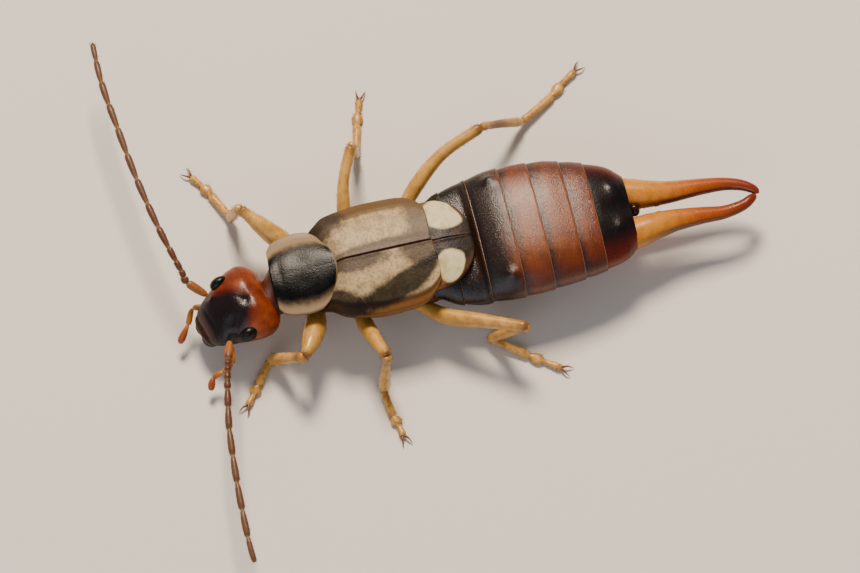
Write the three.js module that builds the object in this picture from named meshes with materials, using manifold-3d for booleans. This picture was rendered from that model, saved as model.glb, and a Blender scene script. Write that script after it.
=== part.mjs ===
// A common earwig, adult female, standing still on its six feet.
// Millimetres. The head faces -Y, the forceps point to +Y, the animal's left side is +X, +Z is up.
// The floor under the feet is z = 0. Places below are in the animal's own frame, which has its
// origin under the middle of the pronotum; the whole model is moved at the end so that the origin
// lies under the middle of its outline.
import * as THREE from "three";
import { mergeVertices } from "three/addons/utils/BufferGeometryUtils.js";
import Module from "manifold-3d";

const wasm = await Module();
wasm.setup();

// Middle of the outline, antennae included, in the animal's own frame
const OUTLINE_MIDDLE_X = -0.25;
const OUTLINE_MIDDLE_Y = 4.7;

// Clear space between neighbouring pieces, and the tighter one round the eyes
const GAP = 0.1;
const EYE_GAP = 0.05;

// The body's middle line: straight to the hind segments, then turned slightly to the left
const MIDLINE_X = -0.15;
const MIDLINE_BEND_Y = 8;
const MIDLINE_SLOPE = 0.055;

// Head: place of its own origin, and how far it is turned to the left
const HEAD_X = 0.26;
const HEAD_Y = -1.9;
const HEAD_TURN = THREE.MathUtils.degToRad(16);
const HEAD_REAR = 1.02;
const HEAD_FRONT = -1.25;
const HEAD_NOTCH = 0.1;
const HEAD_HALF_WIDTH = [[-1.25, 0.48], [-1.1, 0.64], [-0.85, 0.79], [-0.5, 0.94], [-0.15, 1.1],
  [0.3, 1.22], [0.6, 1.17], [0.85, 0.96], [1.02, 0.62]];
const HEAD_TOP = [[-1.25, 1.22], [-0.9, 1.55], [-0.5, 1.84], [0, 2.02], [0.55, 1.98], [1.02, 1.7]];
const HEAD_UNDERSIDE = [[-1.25, 0.86], [-0.5, 0.76], [0, 0.8], [0.5, 0.88], [1.02, 1.12]];

// Compound eyes, in the head's frame
const EYE_SIDE = 0.97;
const EYE_Y = -0.2;
const EYE_Z = 1.56;
const EYE_RADII = [0.21, 0.27, 0.25];

// Body plates and rings: stations along y with a half width or a height
const PRONOTUM_FRONT = -0.83;
const PRONOTUM_REAR = 0.86;
const PRONOTUM_REAR_BULGE = 0.28;
const PRONOTUM_HALF_WIDTH = [[-0.83, 0.95], [-0.66, 1.14], [-0.3, 1.26], [0.1, 1.3], [0.45, 1.25],
  [0.7, 1.08], [0.86, 0.86]];
const PRONOTUM_TOP = 2.34;
const PRONOTUM_THICK = 0.32;
const THORAX_HALF_WIDTH = [[-0.5, 0.9], [0.9, 1.15], [2.4, 1.42], [3.6, 1.55], [4.1, 1.5]];
const THORAX_TOP = [[-0.5, 1.8], [0.9, 1.92], [2.4, 2.04], [4.1, 2.0]];
const THORAX_UNDERSIDE = [[-0.5, 0.98], [0.9, 0.82], [4.1, 0.76]];
const THORAX_JOINTS = [-0.42, 0.98, 2.45, 4.08];
const TEGMEN_FRONT = 1.24;
const TEGMEN_FRONT_CURVE = 0.31;
const TEGMEN_REAR = 4.1;
const TEGMEN_EDGE = [[0, 1.3], [0.1, 1.55], [0.25, 1.69], [0.5, 1.8], [0.75, 1.77], [0.87, 1.68],
  [0.95, 1.5], [1, 1.28]];
const TEGMEN_TOP = 2.56;
const TEGMEN_THICK = 0.32;
const WING_PAD_REAR = 5.32;
const WING_PAD_EDGE = [[0, 1.34], [0.5, 1.26], [0.85, 0.86], [1, 0.5]];
const WING_PAD_TOP = 2.47;
const WING_PAD_THICK = 0.24;
// How far the covers fall away at their widest reach
const COVER_DROP = 0.5;
const COVER_REACH = 1.8;
const ABDOMEN_JOINTS = [4.16, 4.68, 5.52, 6.53, 7.43, 8.4, 9.1, 10.18];
const ABDOMEN_HALF_WIDTH = [[4.1, 1.58], [4.65, 1.85], [5.55, 2.02], [6.55, 2.1], [7.5, 2.06],
  [8.4, 1.93], [9.2, 1.73], [9.8, 1.5], [10.2, 1.15]];
const ABDOMEN_TOP = [[4.1, 1.98], [5.3, 2.06], [5.6, 2.34], [6.5, 2.56], [7.5, 2.58], [8.4, 2.5],
  [9.1, 2.4], [10.2, 2.1]];
const ABDOMEN_UNDERSIDE = [[4.1, 0.85], [6.5, 0.78], [8.4, 0.84], [10.2, 1.08]];

// Tail plate between the roots of the forceps
const PYGIDIUM_PLACE = [MIDLINE_X + MIDLINE_SLOPE * (10.36 - MIDLINE_BEND_Y), 10.36, 1.62];
const PYGIDIUM_RADII = [0.17, 0.13, 0.26];
const PYGIDIUM_ROOM = 0.08;

// Forceps: the middle line of each arm, with half widths at stations along it
const FORCEPS_RIGHT = [[-0.64, 10.3, 1.55], [-0.5, 10.75, 1.54], [-0.42, 11.45, 1.5],
  [-0.39, 12.45, 1.45], [-0.33, 13.16, 1.42], [-0.18, 13.68, 1.41], [0.1, 14.1, 1.4]];
const FORCEPS_LEFT = [[0.66, 10.3, 1.55], [0.6, 10.75, 1.54], [0.52, 11.45, 1.5],
  [0.53, 12.3, 1.45], [0.57, 12.95, 1.42], [0.48, 13.55, 1.41], [0.3, 13.95, 1.4]];
const FORCEPS_HALF_WIDTH = [[0, 0.47], [0.12, 0.43], [0.3, 0.35], [0.5, 0.27], [0.7, 0.21], [0.88, 0.15],
  [1, 0.05]];
const FORCEPS_HALF_HEIGHT = [[0, 0.42], [0.3, 0.3], [0.7, 0.22], [1, 0.06]];

// Antennae: middle lines, and the length of each segment after the scape
const ANTENNA_RIGHT = [[-0.3, -2.86, 1.52], [-0.66, -3.3, 1.86], [-0.99, -3.38, 2.0],
  [-1.45, -3.51, 2.1], [-2.54, -3.78, 2.2], [-4.19, -4.07, 2.2], [-5.95, -4.28, 2.2],
  [-7.54, -4.43, 2.15], [-8.9, -4.42, 2.05]];
const ANTENNA_LEFT = [[1.4, -2.5, 1.52], [2.1, -2.68, 1.86], [2.46, -2.77, 1.95],
  [3.03, -2.89, 2.0], [4.29, -3.11, 2.0], [5.97, -3.25, 2.0], [7.71, -3.31, 1.95],
  [8.42, -3.28, 1.9]];
const ANTENNA_RIGHT_SEGMENTS = [0.64, 0.2, 0.19, 0.3, 0.43, 0.67, 0.78, 0.8, 0.82, 0.83, 0.77, 0.73,
  0.68, 0.57];
const ANTENNA_LEFT_SEGMENTS = [0.64, 0.2, 0.2, 0.26, 0.3, 0.54, 0.67, 0.77, 0.8, 0.82, 0.8, 0.74];
const ANTENNA_HALF_WIDTH = [[0, 0.25], [0.5, 0.24], [0.85, 0.19], [1, 0.1]];

// Maxillary palps
const PALP_RIGHT = [[-0.12, -2.92, 1.0], [-0.16, -3.3, 0.98], [0.22, -3.52, 0.8], [0.6, -3.85, 0.5]];
const PALP_LEFT = [[1.36, -2.42, 1.0], [1.82, -2.55, 0.98], [1.93, -2.85, 0.8],
  [1.98, -3.12, 0.6], [2.26, -3.3, 0.42]];
const PALP_HALF_WIDTH = [[0, 0.2], [0.6, 0.2], [0.85, 0.22], [1, 0.1]];

// Legs: coxa to knee, ankle, then the foot's joints and its toe on the floor
const LEG_HALF_WIDTH = 0.25;
const FOOT_HALF_WIDTH = 0.21;
const CLAW_LENGTH = 0.3;
const CLAW_SPREAD = THREE.MathUtils.degToRad(38);
const LEGS = {
  front_right: {
    femur: [[-0.75, 0.2, 0.95], [-1.45, -0.1, 1.22], [-2.05, -0.65, 1.55], [-2.7, -1.24, 1.82]],
    ankle: [-3.14, -1.47, 0.32],
    foot: [[-4.03, -1.87, 0.19], [-4.37, -2.06, 0.18], [-4.78, -2.35, 0.16]],
    thick: 0.33,
  },
  front_left: {
    femur: [[0.6, 0.35, 0.95], [1.2, 0.2, 1.2], [1.85, -0.08, 1.5], [2.4, -0.4, 1.78]],
    ankle: [1.66, -1.32, 0.32],
    foot: [[2.33, -1.86, 0.19], [2.56, -2.02, 0.18], [2.88, -2.28, 0.16]],
    thick: 0.35,
  },
  middle_right: {
    femur: [[-1.0, 1.55, 0.95], [-2.0, 1.8, 1.25], [-2.95, 2.02, 1.66], [-3.92, 2.48, 1.9]],
    ankle: [-4.28, 2.7, 0.32],
    foot: [[-5.19, 2.93, 0.19], [-5.6, 3.05, 0.18], [-6.1, 3.22, 0.16]],
    thick: 0.27,
  },
  middle_left: {
    femur: [[0.8, 1.55, 0.95], [1.6, 1.66, 1.22], [2.3, 1.82, 1.56], [2.97, 2.0, 1.86]],
    ankle: [3.38, 1.78, 0.32],
    foot: [[4.12, 1.87, 0.19], [4.5, 1.97, 0.18], [4.9, 2.05, 0.16]],
    thick: 0.27,
  },
  hind_right: {
    femur: [[-1.2, 3.2, 0.95], [-2.2, 3.9, 1.2], [-3.1, 5.05, 1.62], [-3.62, 6.46, 1.92]],
    ankle: [-4.19, 7.86, 0.34],
    foot: [[-4.83, 8.9, 0.19], [-5.14, 9.28, 0.18], [-5.54, 9.85, 0.16]],
    thick: 0.27,
  },
  hind_left: {
    femur: [[1.0, 3.2, 0.95], [1.84, 4.05, 1.2], [2.4, 5.1, 1.56], [3.03, 6.3, 1.92]],
    ankle: [2.5, 5.26, 0.34],
    foot: [[3.2, 6.24, 0.19], [3.48, 6.64, 0.18], [3.86, 7.18, 0.16]],
    thick: 0.27,
  },
};

// Colour and roughness of the cuticle
const CUTICLE = {
  head: [0x7a2f14, 0.3],
  eye: [0x11130f, 0.2],
  antenna: [0x6d4a33, 0.5],
  palp: [0xb0703a, 0.4],
  mouth: [0x5a2a18, 0.4],
  pronotum: [0x1d191d, 0.35],
  thorax: [0x6b4222, 0.5],
  tegmen: [0xa6957a, 0.55],
  wing_pad: [0xcfc19a, 0.5],
  abdomen: [0x5a2410, 0.3],
  abdomen_front: [0x1a1310, 0.35],
  last_ring: [0x26141a, 0.3],
  forceps: [0xb5621e, 0.3],
  leg: [0xc18a3a, 0.4],
};

const UP = new THREE.Vector3(0, 0, 1);

function smooth(share) {
  return share * share * (3 - 2 * share);
}

// A size read smoothly from stations, each a place and the size there
function along(stations, place) {
  const next = stations.findIndex(([station]) => station >= place);
  if (next === 0) {
    return stations[0][1];
  }
  if (next < 0) {
    return stations[stations.length - 1][1];
  }
  const [from, before] = stations[next - 1];
  const [to, after] = stations[next];
  return before + (after - before) * smooth((place - from) / (to - from));
}

function midlineX(y) {
  return MIDLINE_X + MIDLINE_SLOPE * Math.max(0, y - MIDLINE_BEND_Y);
}

function curveThrough(points) {
  return new THREE.CatmullRomCurve3(points.map((point) => new THREE.Vector3(...point)), false, "centripetal");
}

// Ring places from 0 to 1, set closer together at both ends
function endCrowded(steps) {
  return Array.from({ length: steps + 1 }, (_, k) => 0.5 - 0.5 * Math.cos((Math.PI * k) / steps));
}

// Narrows a body to a rounded end over the given share of its length
function rounded(place, share) {
  const inside = Math.min(place, 1 - place) / share;
  return inside >= 1 ? 1 : Math.sqrt(1 - (1 - inside) ** 2) * 0.8 + 0.2;
}

// A closed body along a curve: a cylinder whose rings are set on the curve and sized there
function sweep(curve, rings, sides, halfWidth, halfHeight, boxiness = 2) {
  const steps = rings.length - 1;
  const geometry = new THREE.CylinderGeometry(1, 1, 1, sides, steps);
  const points = geometry.attributes.position;
  const point = new THREE.Vector3();
  for (let k = 0; k < points.count; k += 1) {
    point.fromBufferAttribute(points, k);
    const place = rings[Math.round((point.y + 0.5) * steps)];
    const tangent = curve.getTangentAt(place);
    const sideways = new THREE.Vector3().crossVectors(tangent, UP).normalize();
    const lift = new THREE.Vector3().crossVectors(sideways, tangent);
    const across = Math.sign(point.x) * Math.abs(point.x) ** (2 / boxiness) * halfWidth(place);
    const high = Math.sign(point.z) * Math.abs(point.z) ** (2 / boxiness) * halfHeight(place);
    const centre = curve.getPointAt(place);
    centre.addScaledVector(sideways, across).addScaledVector(lift, high);
    points.setXYZ(k, centre.x, centre.y, centre.z);
  }
  return geometry;
}

// A closed length of the trunk from one y to another, its section read from stations
function ringOfBody(from, to, steps, sides, halfWidth, top, underside, grow = 0) {
  const geometry = new THREE.CylinderGeometry(1, 1, 1, sides, steps);
  const points = geometry.attributes.position;
  for (let k = 0; k < points.count; k += 1) {
    const share = points.getY(k) + 0.5;
    const y = from + (to - from) * share;
    const middle = (top(y, share) + underside(y, share)) / 2;
    const high = (top(y, share) - underside(y, share)) / 2 + grow;
    const wide = halfWidth(y, share) + grow;
    const cosine = points.getZ(k);
    const sine = points.getX(k);
    const x = midlineX(y) + Math.sign(sine) * Math.abs(sine) ** 0.85 * wide;
    points.setXYZ(k, x, y, middle + Math.sign(cosine) * Math.abs(cosine) ** 0.9 * high);
  }
  return geometry;
}

// A closed curved plate: a flat box whose two faces are both laid on the surface given by place
function plate(columns, rows, place, thick) {
  const geometry = new THREE.BoxGeometry(1, 1, 1, columns, rows, 1);
  const points = geometry.attributes.position;
  for (let k = 0; k < points.count; k += 1) {
    const [x, y, z] = place(points.getX(k) + 0.5, points.getY(k) + 0.5);
    points.setXYZ(k, x, y, points.getZ(k) > 0 ? z : z - thick);
  }
  return geometry;
}

function solidOf(geometry) {
  const bare = geometry.clone();
  bare.deleteAttribute("normal");
  bare.deleteAttribute("uv");
  const merged = mergeVertices(bare, 1e-5);
  return new wasm.Manifold(new wasm.Mesh({
    numProp: 3,
    vertProperties: Float32Array.from(merged.attributes.position.array),
    triVerts: Uint32Array.from(merged.index.array),
  }));
}

// The largest closed surface of a solid, as a geometry
function geometryOf(solid) {
  const pieces = solid.decompose().sort((one, other) => other.volume() - one.volume());
  const mesh = pieces[0].getMesh();
  const geometry = new THREE.BufferGeometry();
  geometry.setAttribute("position", new THREE.BufferAttribute(Float32Array.from(mesh.vertProperties), 3));
  geometry.setIndex(new THREE.BufferAttribute(Uint32Array.from(mesh.triVerts), 1));
  geometry.computeVertexNormals();
  return geometry;
}

function ball(centre, radii, sides = 10) {
  const geometry = new THREE.SphereGeometry(1, sides, Math.round(sides * 0.7));
  geometry.scale(...radii);
  geometry.translate(...centre);
  return geometry;
}

function joined(geometries) {
  return geometries.map(solidOf).reduce((whole, piece) => whole.add(piece));
}

function without(solid, cutters) {
  return cutters.reduce((left, cutter) => left.subtract(solidOf(cutter)), solid);
}

// Head, eyes and mouthparts, made in the head's own frame and then turned and set in place
const headPlace = new THREE.Matrix4().makeRotationZ(HEAD_TURN).setPosition(HEAD_X, HEAD_Y, 0);

function headShape(grow) {
  const front = HEAD_FRONT - grow;
  const rear = HEAD_REAR + grow;
  const geometry = new THREE.CylinderGeometry(1, 1, 1, 24, 14);
  const points = geometry.attributes.position;
  for (let k = 0; k < points.count; k += 1) {
    const share = points.getY(k) + 0.5;
    const y = front + (rear - front) * share;
    const sine = points.getX(k);
    const cosine = points.getZ(k);
    const top = along(HEAD_TOP, y);
    const underside = along(HEAD_UNDERSIDE, y);
    const wide = along(HEAD_HALF_WIDTH, y) * rounded(share, 0.06) + grow;
    const high = ((top - underside) / 2) * rounded(share, 0.1) + grow;
    const notch = HEAD_NOTCH * (1 - sine * sine) * smooth(Math.max(0, (share - 0.6) / 0.4));
    points.setXYZ(k, sine * wide, y - notch, (top + underside) / 2 + cosine * high);
  }
  return geometry.applyMatrix4(headPlace);
}

function eyeShape(side, grow) {
  const radii = EYE_RADII.map((radius) => radius + grow);
  return ball([side * EYE_SIDE, EYE_Y, EYE_Z], radii, 14).applyMatrix4(headPlace);
}

function headNode() {
  const sockets = [eyeShape(1, EYE_GAP), eyeShape(-1, EYE_GAP)];
  return geometryOf(without(solidOf(headShape(0)), sockets));
}

function eyeNode(side) {
  return geometryOf(solidOf(eyeShape(side, 0)));
}

// Upper lip: a short plate hung from the front of the head
function labrumNode() {
  const lip = ball([0, -1.22, 1.0], [0.5, 0.2, 0.2], 12).applyMatrix4(headPlace);
  return geometryOf(without(solidOf(lip), [headShape(GAP * 0.6)]));
}

// The two jaws under the lip, meeting in the middle
function mandiblesNode() {
  const jaws = [-1, 1].map((side) => ball([side * 0.2, -1.08, 0.72], [0.3, 0.3, 0.16]));
  const lower = ball([0, -0.85, 0.66], [0.42, 0.4, 0.14]);
  const jawSolid = joined([...jaws, lower].map((piece) => piece.applyMatrix4(headPlace)));
  const lip = ball([0, -1.22, 1.0], [0.55, 0.25, 0.25], 12).applyMatrix4(headPlace);
  return geometryOf(without(jawSolid, [headShape(GAP * 0.6), lip]));
}

// A feeler or palp of segments, each narrow at its root and widest near its far end
function beaded(points, lengths, sides, halfWidth) {
  const curve = curveThrough(points);
  const total = lengths.reduce((sum, length) => sum + length, 0);
  const rings = [0];
  const widths = [0.8];
  let run = 0;
  lengths.forEach((length, k) => {
    const from = run / total;
    run += length;
    const to = run / total;
    rings.push(from + (to - from) * 0.3, from + (to - from) * 0.85, k === lengths.length - 1 ? 1 : to);
    widths.push(0.95, 1, k === lengths.length - 1 ? 0.4 : 0.8);
  });
  const sized = (place) => halfWidth(place) * widths[rings.indexOf(place)];
  return sweep(curve, rings, sides, sized, sized);
}

function antennaNode(points, lengths) {
  const feeler = beaded(points, lengths, 8, (place) => along(ANTENNA_HALF_WIDTH, place));
  return geometryOf(without(solidOf(feeler), [headShape(GAP)]));
}

function palpNode(points) {
  const feeler = beaded(points, [1, 1, 1], 8, (place) => along(PALP_HALF_WIDTH, place));
  return geometryOf(without(solidOf(feeler), [headShape(GAP)]));
}

// Trunk
function neckNode() {
  const curve = curveThrough([[0.1, -1.3, 1.36], [0, -0.9, 1.38], [-0.1, -0.52, 1.38]]);
  const neck = sweep(curve, endCrowded(4), 16, () => 0.55, () => 0.36);
  return geometryOf(without(solidOf(neck), [headShape(GAP)]));
}

function pronotumNode() {
  return geometryOf(solidOf(plate(12, 10, (u, v) => {
    const across = 2 * u - 1;
    const y = PRONOTUM_FRONT + (PRONOTUM_REAR - PRONOTUM_FRONT) * v;
    const bulge = PRONOTUM_REAR_BULGE * (1 - across * across) * v;
    const x = midlineX(y) + across * along(PRONOTUM_HALF_WIDTH, y);
    const crown = PRONOTUM_TOP - 0.3 * across ** 2 - 0.1 * (1 - v) ** 2;
    return [x, y + bulge, crown];
  }, PRONOTUM_THICK)));
}

function thoraxRing(from, to, grow) {
  const halfWidth = (y, share) => along(THORAX_HALF_WIDTH, y) * (grow ? 1 : rounded(share, 0.12));
  const top = (y) => along(THORAX_TOP, y);
  const underside = (y) => along(THORAX_UNDERSIDE, y);
  return ringOfBody(from, to, 5, 20, halfWidth, top, underside, grow);
}

function thoraxNode(index) {
  return geometryOf(solidOf(thoraxRing(THORAX_JOINTS[index] + GAP / 2, THORAX_JOINTS[index + 1] - GAP / 2, 0)));
}

// A plate of one side, from the seam on the middle line to its outer edge
function sidePlate(side, front, frontCurve, rear, edge, crown, thick, seam, rows) {
  const make = (u, v) => {
    const start = front - frontCurve * (edge[0][1] * u) ** 2;
    const y = start + (rear - start) * v;
    const reach = seam + (along(edge, v) - seam) * u;
    const drop = COVER_DROP * (reach / COVER_REACH) ** 2.6;
    return [midlineX(y) + side * reach, y, crown - drop - 0.06 * (1 - v) ** 2];
  };
  const mirrored = (u, v) => make(side > 0 ? u : 1 - u, v);
  return plate(8, rows, mirrored, thick);
}

function tegmenNode(side) {
  const rear = TEGMEN_REAR + (side > 0 ? 0 : -0.05);
  return geometryOf(solidOf(sidePlate(side, TEGMEN_FRONT, TEGMEN_FRONT_CURVE, rear, TEGMEN_EDGE,
    TEGMEN_TOP, TEGMEN_THICK, GAP / 2, 12)));
}

function wingPadNode(side) {
  return geometryOf(solidOf(sidePlate(side, TEGMEN_REAR + GAP, 0, WING_PAD_REAR, WING_PAD_EDGE,
    WING_PAD_TOP, WING_PAD_THICK, GAP, 7)));
}

// Abdomen: each ring is a little narrower at its front, where the ring before it laps over it
function abdomenRing(index) {
  const from = ABDOMEN_JOINTS[index] + GAP / 2;
  const to = ABDOMEN_JOINTS[index + 1] - GAP / 2;
  const lap = (share) => 0.945 + 0.055 * smooth(Math.min(1, share * 1.6));
  const halfWidth = (y, share) => along(ABDOMEN_HALF_WIDTH, y) * lap(share);
  const top = (y, share) => along(ABDOMEN_TOP, y) - 0.9 * (1 - lap(share));
  const underside = (y, share) => along(ABDOMEN_UNDERSIDE, y) + 0.9 * (1 - lap(share));
  return solidOf(ringOfBody(from, to, 6, 26, halfWidth, top, underside));
}

function glandNode() {
  const folds = [-1, 1].map((side) => ball([MIDLINE_X + side * 1.6, 6.2, 2.22], [0.17, 0.2, 0.14]));
  return geometryOf(abdomenRing(2).add(joined(folds)));
}

function lastRingNode() {
  const swellings = [-1, 1].map((side) => ball([side * 0.62, 9.86, 2.02], [0.26, 0.24, 0.2]));
  return geometryOf(abdomenRing(6).add(joined(swellings)));
}

function pygidiumNode() {
  return geometryOf(solidOf(ball(PYGIDIUM_PLACE, PYGIDIUM_RADII, 12)));
}

function forcepsNode(points) {
  const arm = sweep(curveThrough(points), endCrowded(16), 12,
    (place) => along(FORCEPS_HALF_WIDTH, place), (place) => along(FORCEPS_HALF_HEIGHT, place));
  const pygidiumRoom = ball(PYGIDIUM_PLACE, PYGIDIUM_RADII.map((radius) => radius + PYGIDIUM_ROOM), 12);
  const endOfBody = ringOfBody(9.5, ABDOMEN_JOINTS[7] + GAP / 2, 4, 32, (y) => along(ABDOMEN_HALF_WIDTH, y),
    (y) => along(ABDOMEN_TOP, y), (y) => along(ABDOMEN_UNDERSIDE, y), GAP);
  return geometryOf(without(solidOf(arm), [pygidiumRoom, endOfBody]));
}

// Legs
function legNodes(leg, thoraxCutter) {
  const knee = leg.femur[leg.femur.length - 1];
  const femurCurve = curveThrough(leg.femur);
  const thick = [[0, leg.thick], [0.45, leg.thick], [0.85, LEG_HALF_WIDTH * 0.92], [1, LEG_HALF_WIDTH * 0.9]];
  const femur = sweep(femurCurve, endCrowded(8), 10,
    (place) => along(thick, place), (place) => along(thick, place));
  const kneeBall = ball(knee, [LEG_HALF_WIDTH, LEG_HALF_WIDTH, LEG_HALF_WIDTH]);
  const femurSolid = without(joined([femur, kneeBall]), [thoraxCutter]);
  const kneeRoom = LEG_HALF_WIDTH + GAP;
  const shin = sweep(curveThrough([knee, leg.ankle]), endCrowded(4), 8,
    () => LEG_HALF_WIDTH * 0.9, () => LEG_HALF_WIDTH * 0.9);
  const ankleBall = ball(leg.ankle, [LEG_HALF_WIDTH * 0.95, LEG_HALF_WIDTH * 0.95, LEG_HALF_WIDTH * 0.95]);
  const tibiaSolid = without(joined([shin, ankleBall]),
    [ball(knee, [kneeRoom, kneeRoom, kneeRoom])]);
  return [geometryOf(femurSolid), geometryOf(tibiaSolid), footNode(leg)];
}

// Foot: a long first joint, a lobed second, a slender third with two claws, all flat on the floor
function footNode(leg) {
  const points = [leg.ankle, ...leg.foot];
  const width = [[0, 0.9], [0.45, 0.85], [0.58, 0.95], [0.68, 1.2], [0.76, 0.9], [1, 0.7]];
  const rings = [0, 0.15, 0.3, 0.45, 0.55, 0.62, 0.68, 0.74, 0.8, 0.9, 1];
  const half = (place) => along(width, place) * FOOT_HALF_WIDTH;
  const sole = sweep(curveThrough(points), rings, 8, half, () => FOOT_HALF_WIDTH * 0.9);
  const toe = new THREE.Vector3(...leg.foot[leg.foot.length - 1]);
  const heading = toe.clone().sub(new THREE.Vector3(...leg.foot[leg.foot.length - 2])).setZ(0).normalize();
  const claws = [-1, 1].map((side) => {
    const aim = heading.clone().applyAxisAngle(UP, side * CLAW_SPREAD);
    const bend = toe.clone().addScaledVector(aim, CLAW_LENGTH * 0.6);
    const tip = toe.clone().addScaledVector(aim, CLAW_LENGTH * 0.9).addScaledVector(heading, CLAW_LENGTH * 0.3);
    tip.z = 0.06;
    const curve = new THREE.QuadraticBezierCurve3(toe.clone().addScaledVector(heading, -0.08), bend, tip);
    return sweep(curve, [0, 0.3, 0.6, 0.85, 1], 6,
      (place) => 0.11 * (1 - 0.75 * place), (place) => 0.11 * (1 - 0.75 * place));
  });
  const pieces = [sole, ...claws];
  pieces.forEach((piece) => {
    const places = piece.attributes.position;
    for (let k = 0; k < places.count; k += 1) {
      places.setZ(k, Math.max(0, places.getZ(k)));
    }
  });
  const ankleRoom = LEG_HALF_WIDTH * 0.95 + GAP;
  return geometryOf(without(joined(pieces), [ball(leg.ankle, [ankleRoom, ankleRoom, ankleRoom])]));
}

const group = new THREE.Group();
group.position.set(-OUTLINE_MIDDLE_X, -OUTLINE_MIDDLE_Y, 0);

function addPiece(name, geometry, finish) {
  const [color, roughness] = CUTICLE[finish];
  const mesh = new THREE.Mesh(geometry, new THREE.MeshStandardMaterial({ color, roughness, metalness: 0 }));
  mesh.name = name;
  group.add(mesh);
}

addPiece("head", headNode(), "head");
addPiece("eye_left", eyeNode(1), "eye");
addPiece("eye_right", eyeNode(-1), "eye");
addPiece("labrum", labrumNode(), "mouth");
addPiece("mandibles", mandiblesNode(), "mouth");
addPiece("antenna_left", antennaNode(ANTENNA_LEFT, ANTENNA_LEFT_SEGMENTS), "antenna");
addPiece("antenna_right", antennaNode(ANTENNA_RIGHT, ANTENNA_RIGHT_SEGMENTS), "antenna");
addPiece("palp_left", palpNode(PALP_LEFT), "palp");
addPiece("palp_right", palpNode(PALP_RIGHT), "palp");
addPiece("neck", neckNode(), "thorax");
addPiece("pronotum", pronotumNode(), "pronotum");
["prothorax", "mesothorax", "metathorax"].forEach((name, k) => addPiece(name, thoraxNode(k), "thorax"));
addPiece("tegmen_left", tegmenNode(1), "tegmen");
addPiece("tegmen_right", tegmenNode(-1), "tegmen");
addPiece("wing_pad_left", wingPadNode(1), "wing_pad");
addPiece("wing_pad_right", wingPadNode(-1), "wing_pad");
for (let ring = 0; ring < 6; ring += 1) {
  const geometry = ring === 2 ? glandNode() : geometryOf(abdomenRing(ring));
  addPiece(`abdomen_ring_${ring + 1}`, geometry, ring < 2 ? "abdomen_front" : "abdomen");
}
addPiece("abdomen_last_ring", lastRingNode(), "last_ring");
addPiece("pygidium", pygidiumNode(), "last_ring");
addPiece("forceps_left", forcepsNode(FORCEPS_LEFT), "forceps");
addPiece("forceps_right", forcepsNode(FORCEPS_RIGHT), "forceps");

const wholeThorax = thoraxRing(THORAX_JOINTS[0], THORAX_JOINTS[3], GAP);
for (const [place, leg] of Object.entries(LEGS)) {
  const [femur, tibia, foot] = legNodes(leg, wholeThorax);
  addPiece(`femur_${place}`, femur, "leg");
  addPiece(`tibia_${place}`, tibia, "leg");
  addPiece(`foot_${place}`, foot, "leg");
}

export default group;
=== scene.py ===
import math

import bpy
import numpy as np
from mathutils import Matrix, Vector


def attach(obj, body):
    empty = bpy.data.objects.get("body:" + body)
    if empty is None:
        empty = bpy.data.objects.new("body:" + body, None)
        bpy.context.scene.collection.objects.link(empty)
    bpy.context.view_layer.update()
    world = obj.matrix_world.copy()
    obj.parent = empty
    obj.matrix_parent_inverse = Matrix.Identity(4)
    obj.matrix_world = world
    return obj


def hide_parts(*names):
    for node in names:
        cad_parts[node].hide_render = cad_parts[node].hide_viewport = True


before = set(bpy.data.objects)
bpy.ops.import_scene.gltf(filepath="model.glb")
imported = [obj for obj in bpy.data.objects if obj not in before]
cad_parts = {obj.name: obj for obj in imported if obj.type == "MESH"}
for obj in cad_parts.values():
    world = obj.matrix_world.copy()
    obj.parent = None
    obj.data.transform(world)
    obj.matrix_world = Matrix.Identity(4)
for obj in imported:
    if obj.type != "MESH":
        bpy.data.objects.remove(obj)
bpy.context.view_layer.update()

# Studio: a pale matt board under the animal, and a long-lens camera above its left flank.
# The photo's frame is 860 pixels wide, at 0.03 mm for each pixel.
MM = 0.001
OUTLINE_MIDDLE = np.array([-0.25, 4.7, 0.0])
FLOOR_COLOUR = "#e6e1d8"
FLOOR_HALF_SIDE = 400.0
CAMERA_AZIMUTH = math.radians(76.8)
CAMERA_ELEVATION = math.radians(68.0)
CAMERA_AIM = np.array([0.93, 3.788, 1.5])
FRAME_WIDTH = 25.8
LENS = 300.0
SENSOR = 36.0


def placed(points):
    """Animal-frame millimetres to row-frame metres."""
    return (np.asarray(points, float) - OUTLINE_MIDDLE) * MM


def linear(colour):
    """An sRGB hex colour as linear RGBA."""
    parts = [int(colour[k:k + 2], 16) / 255 for k in (1, 3, 5)]
    return [c / 12.92 if c <= 0.04045 else ((c + 0.055) / 1.055) ** 2.4 for c in parts] + [1.0]


def add(tree, kind, links=None, values=None, **settings):
    """A node with its settings, its socket values and its incoming links."""
    made = tree.nodes.new(kind)
    for name, value in settings.items():
        setattr(made, name, value)
    for socket, value in (values or {}).items():
        made.inputs[socket].default_value = value
    for socket, source in (links or {}).items():
        tree.links.new(source, made.inputs[socket])
    return made


def new_material(name):
    """An empty node material with its output node."""
    material = bpy.data.materials.new(name)
    material.use_nodes = True
    material.node_tree.nodes.clear()
    return material, material.node_tree, add(material.node_tree, "ShaderNodeOutputMaterial")


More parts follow.
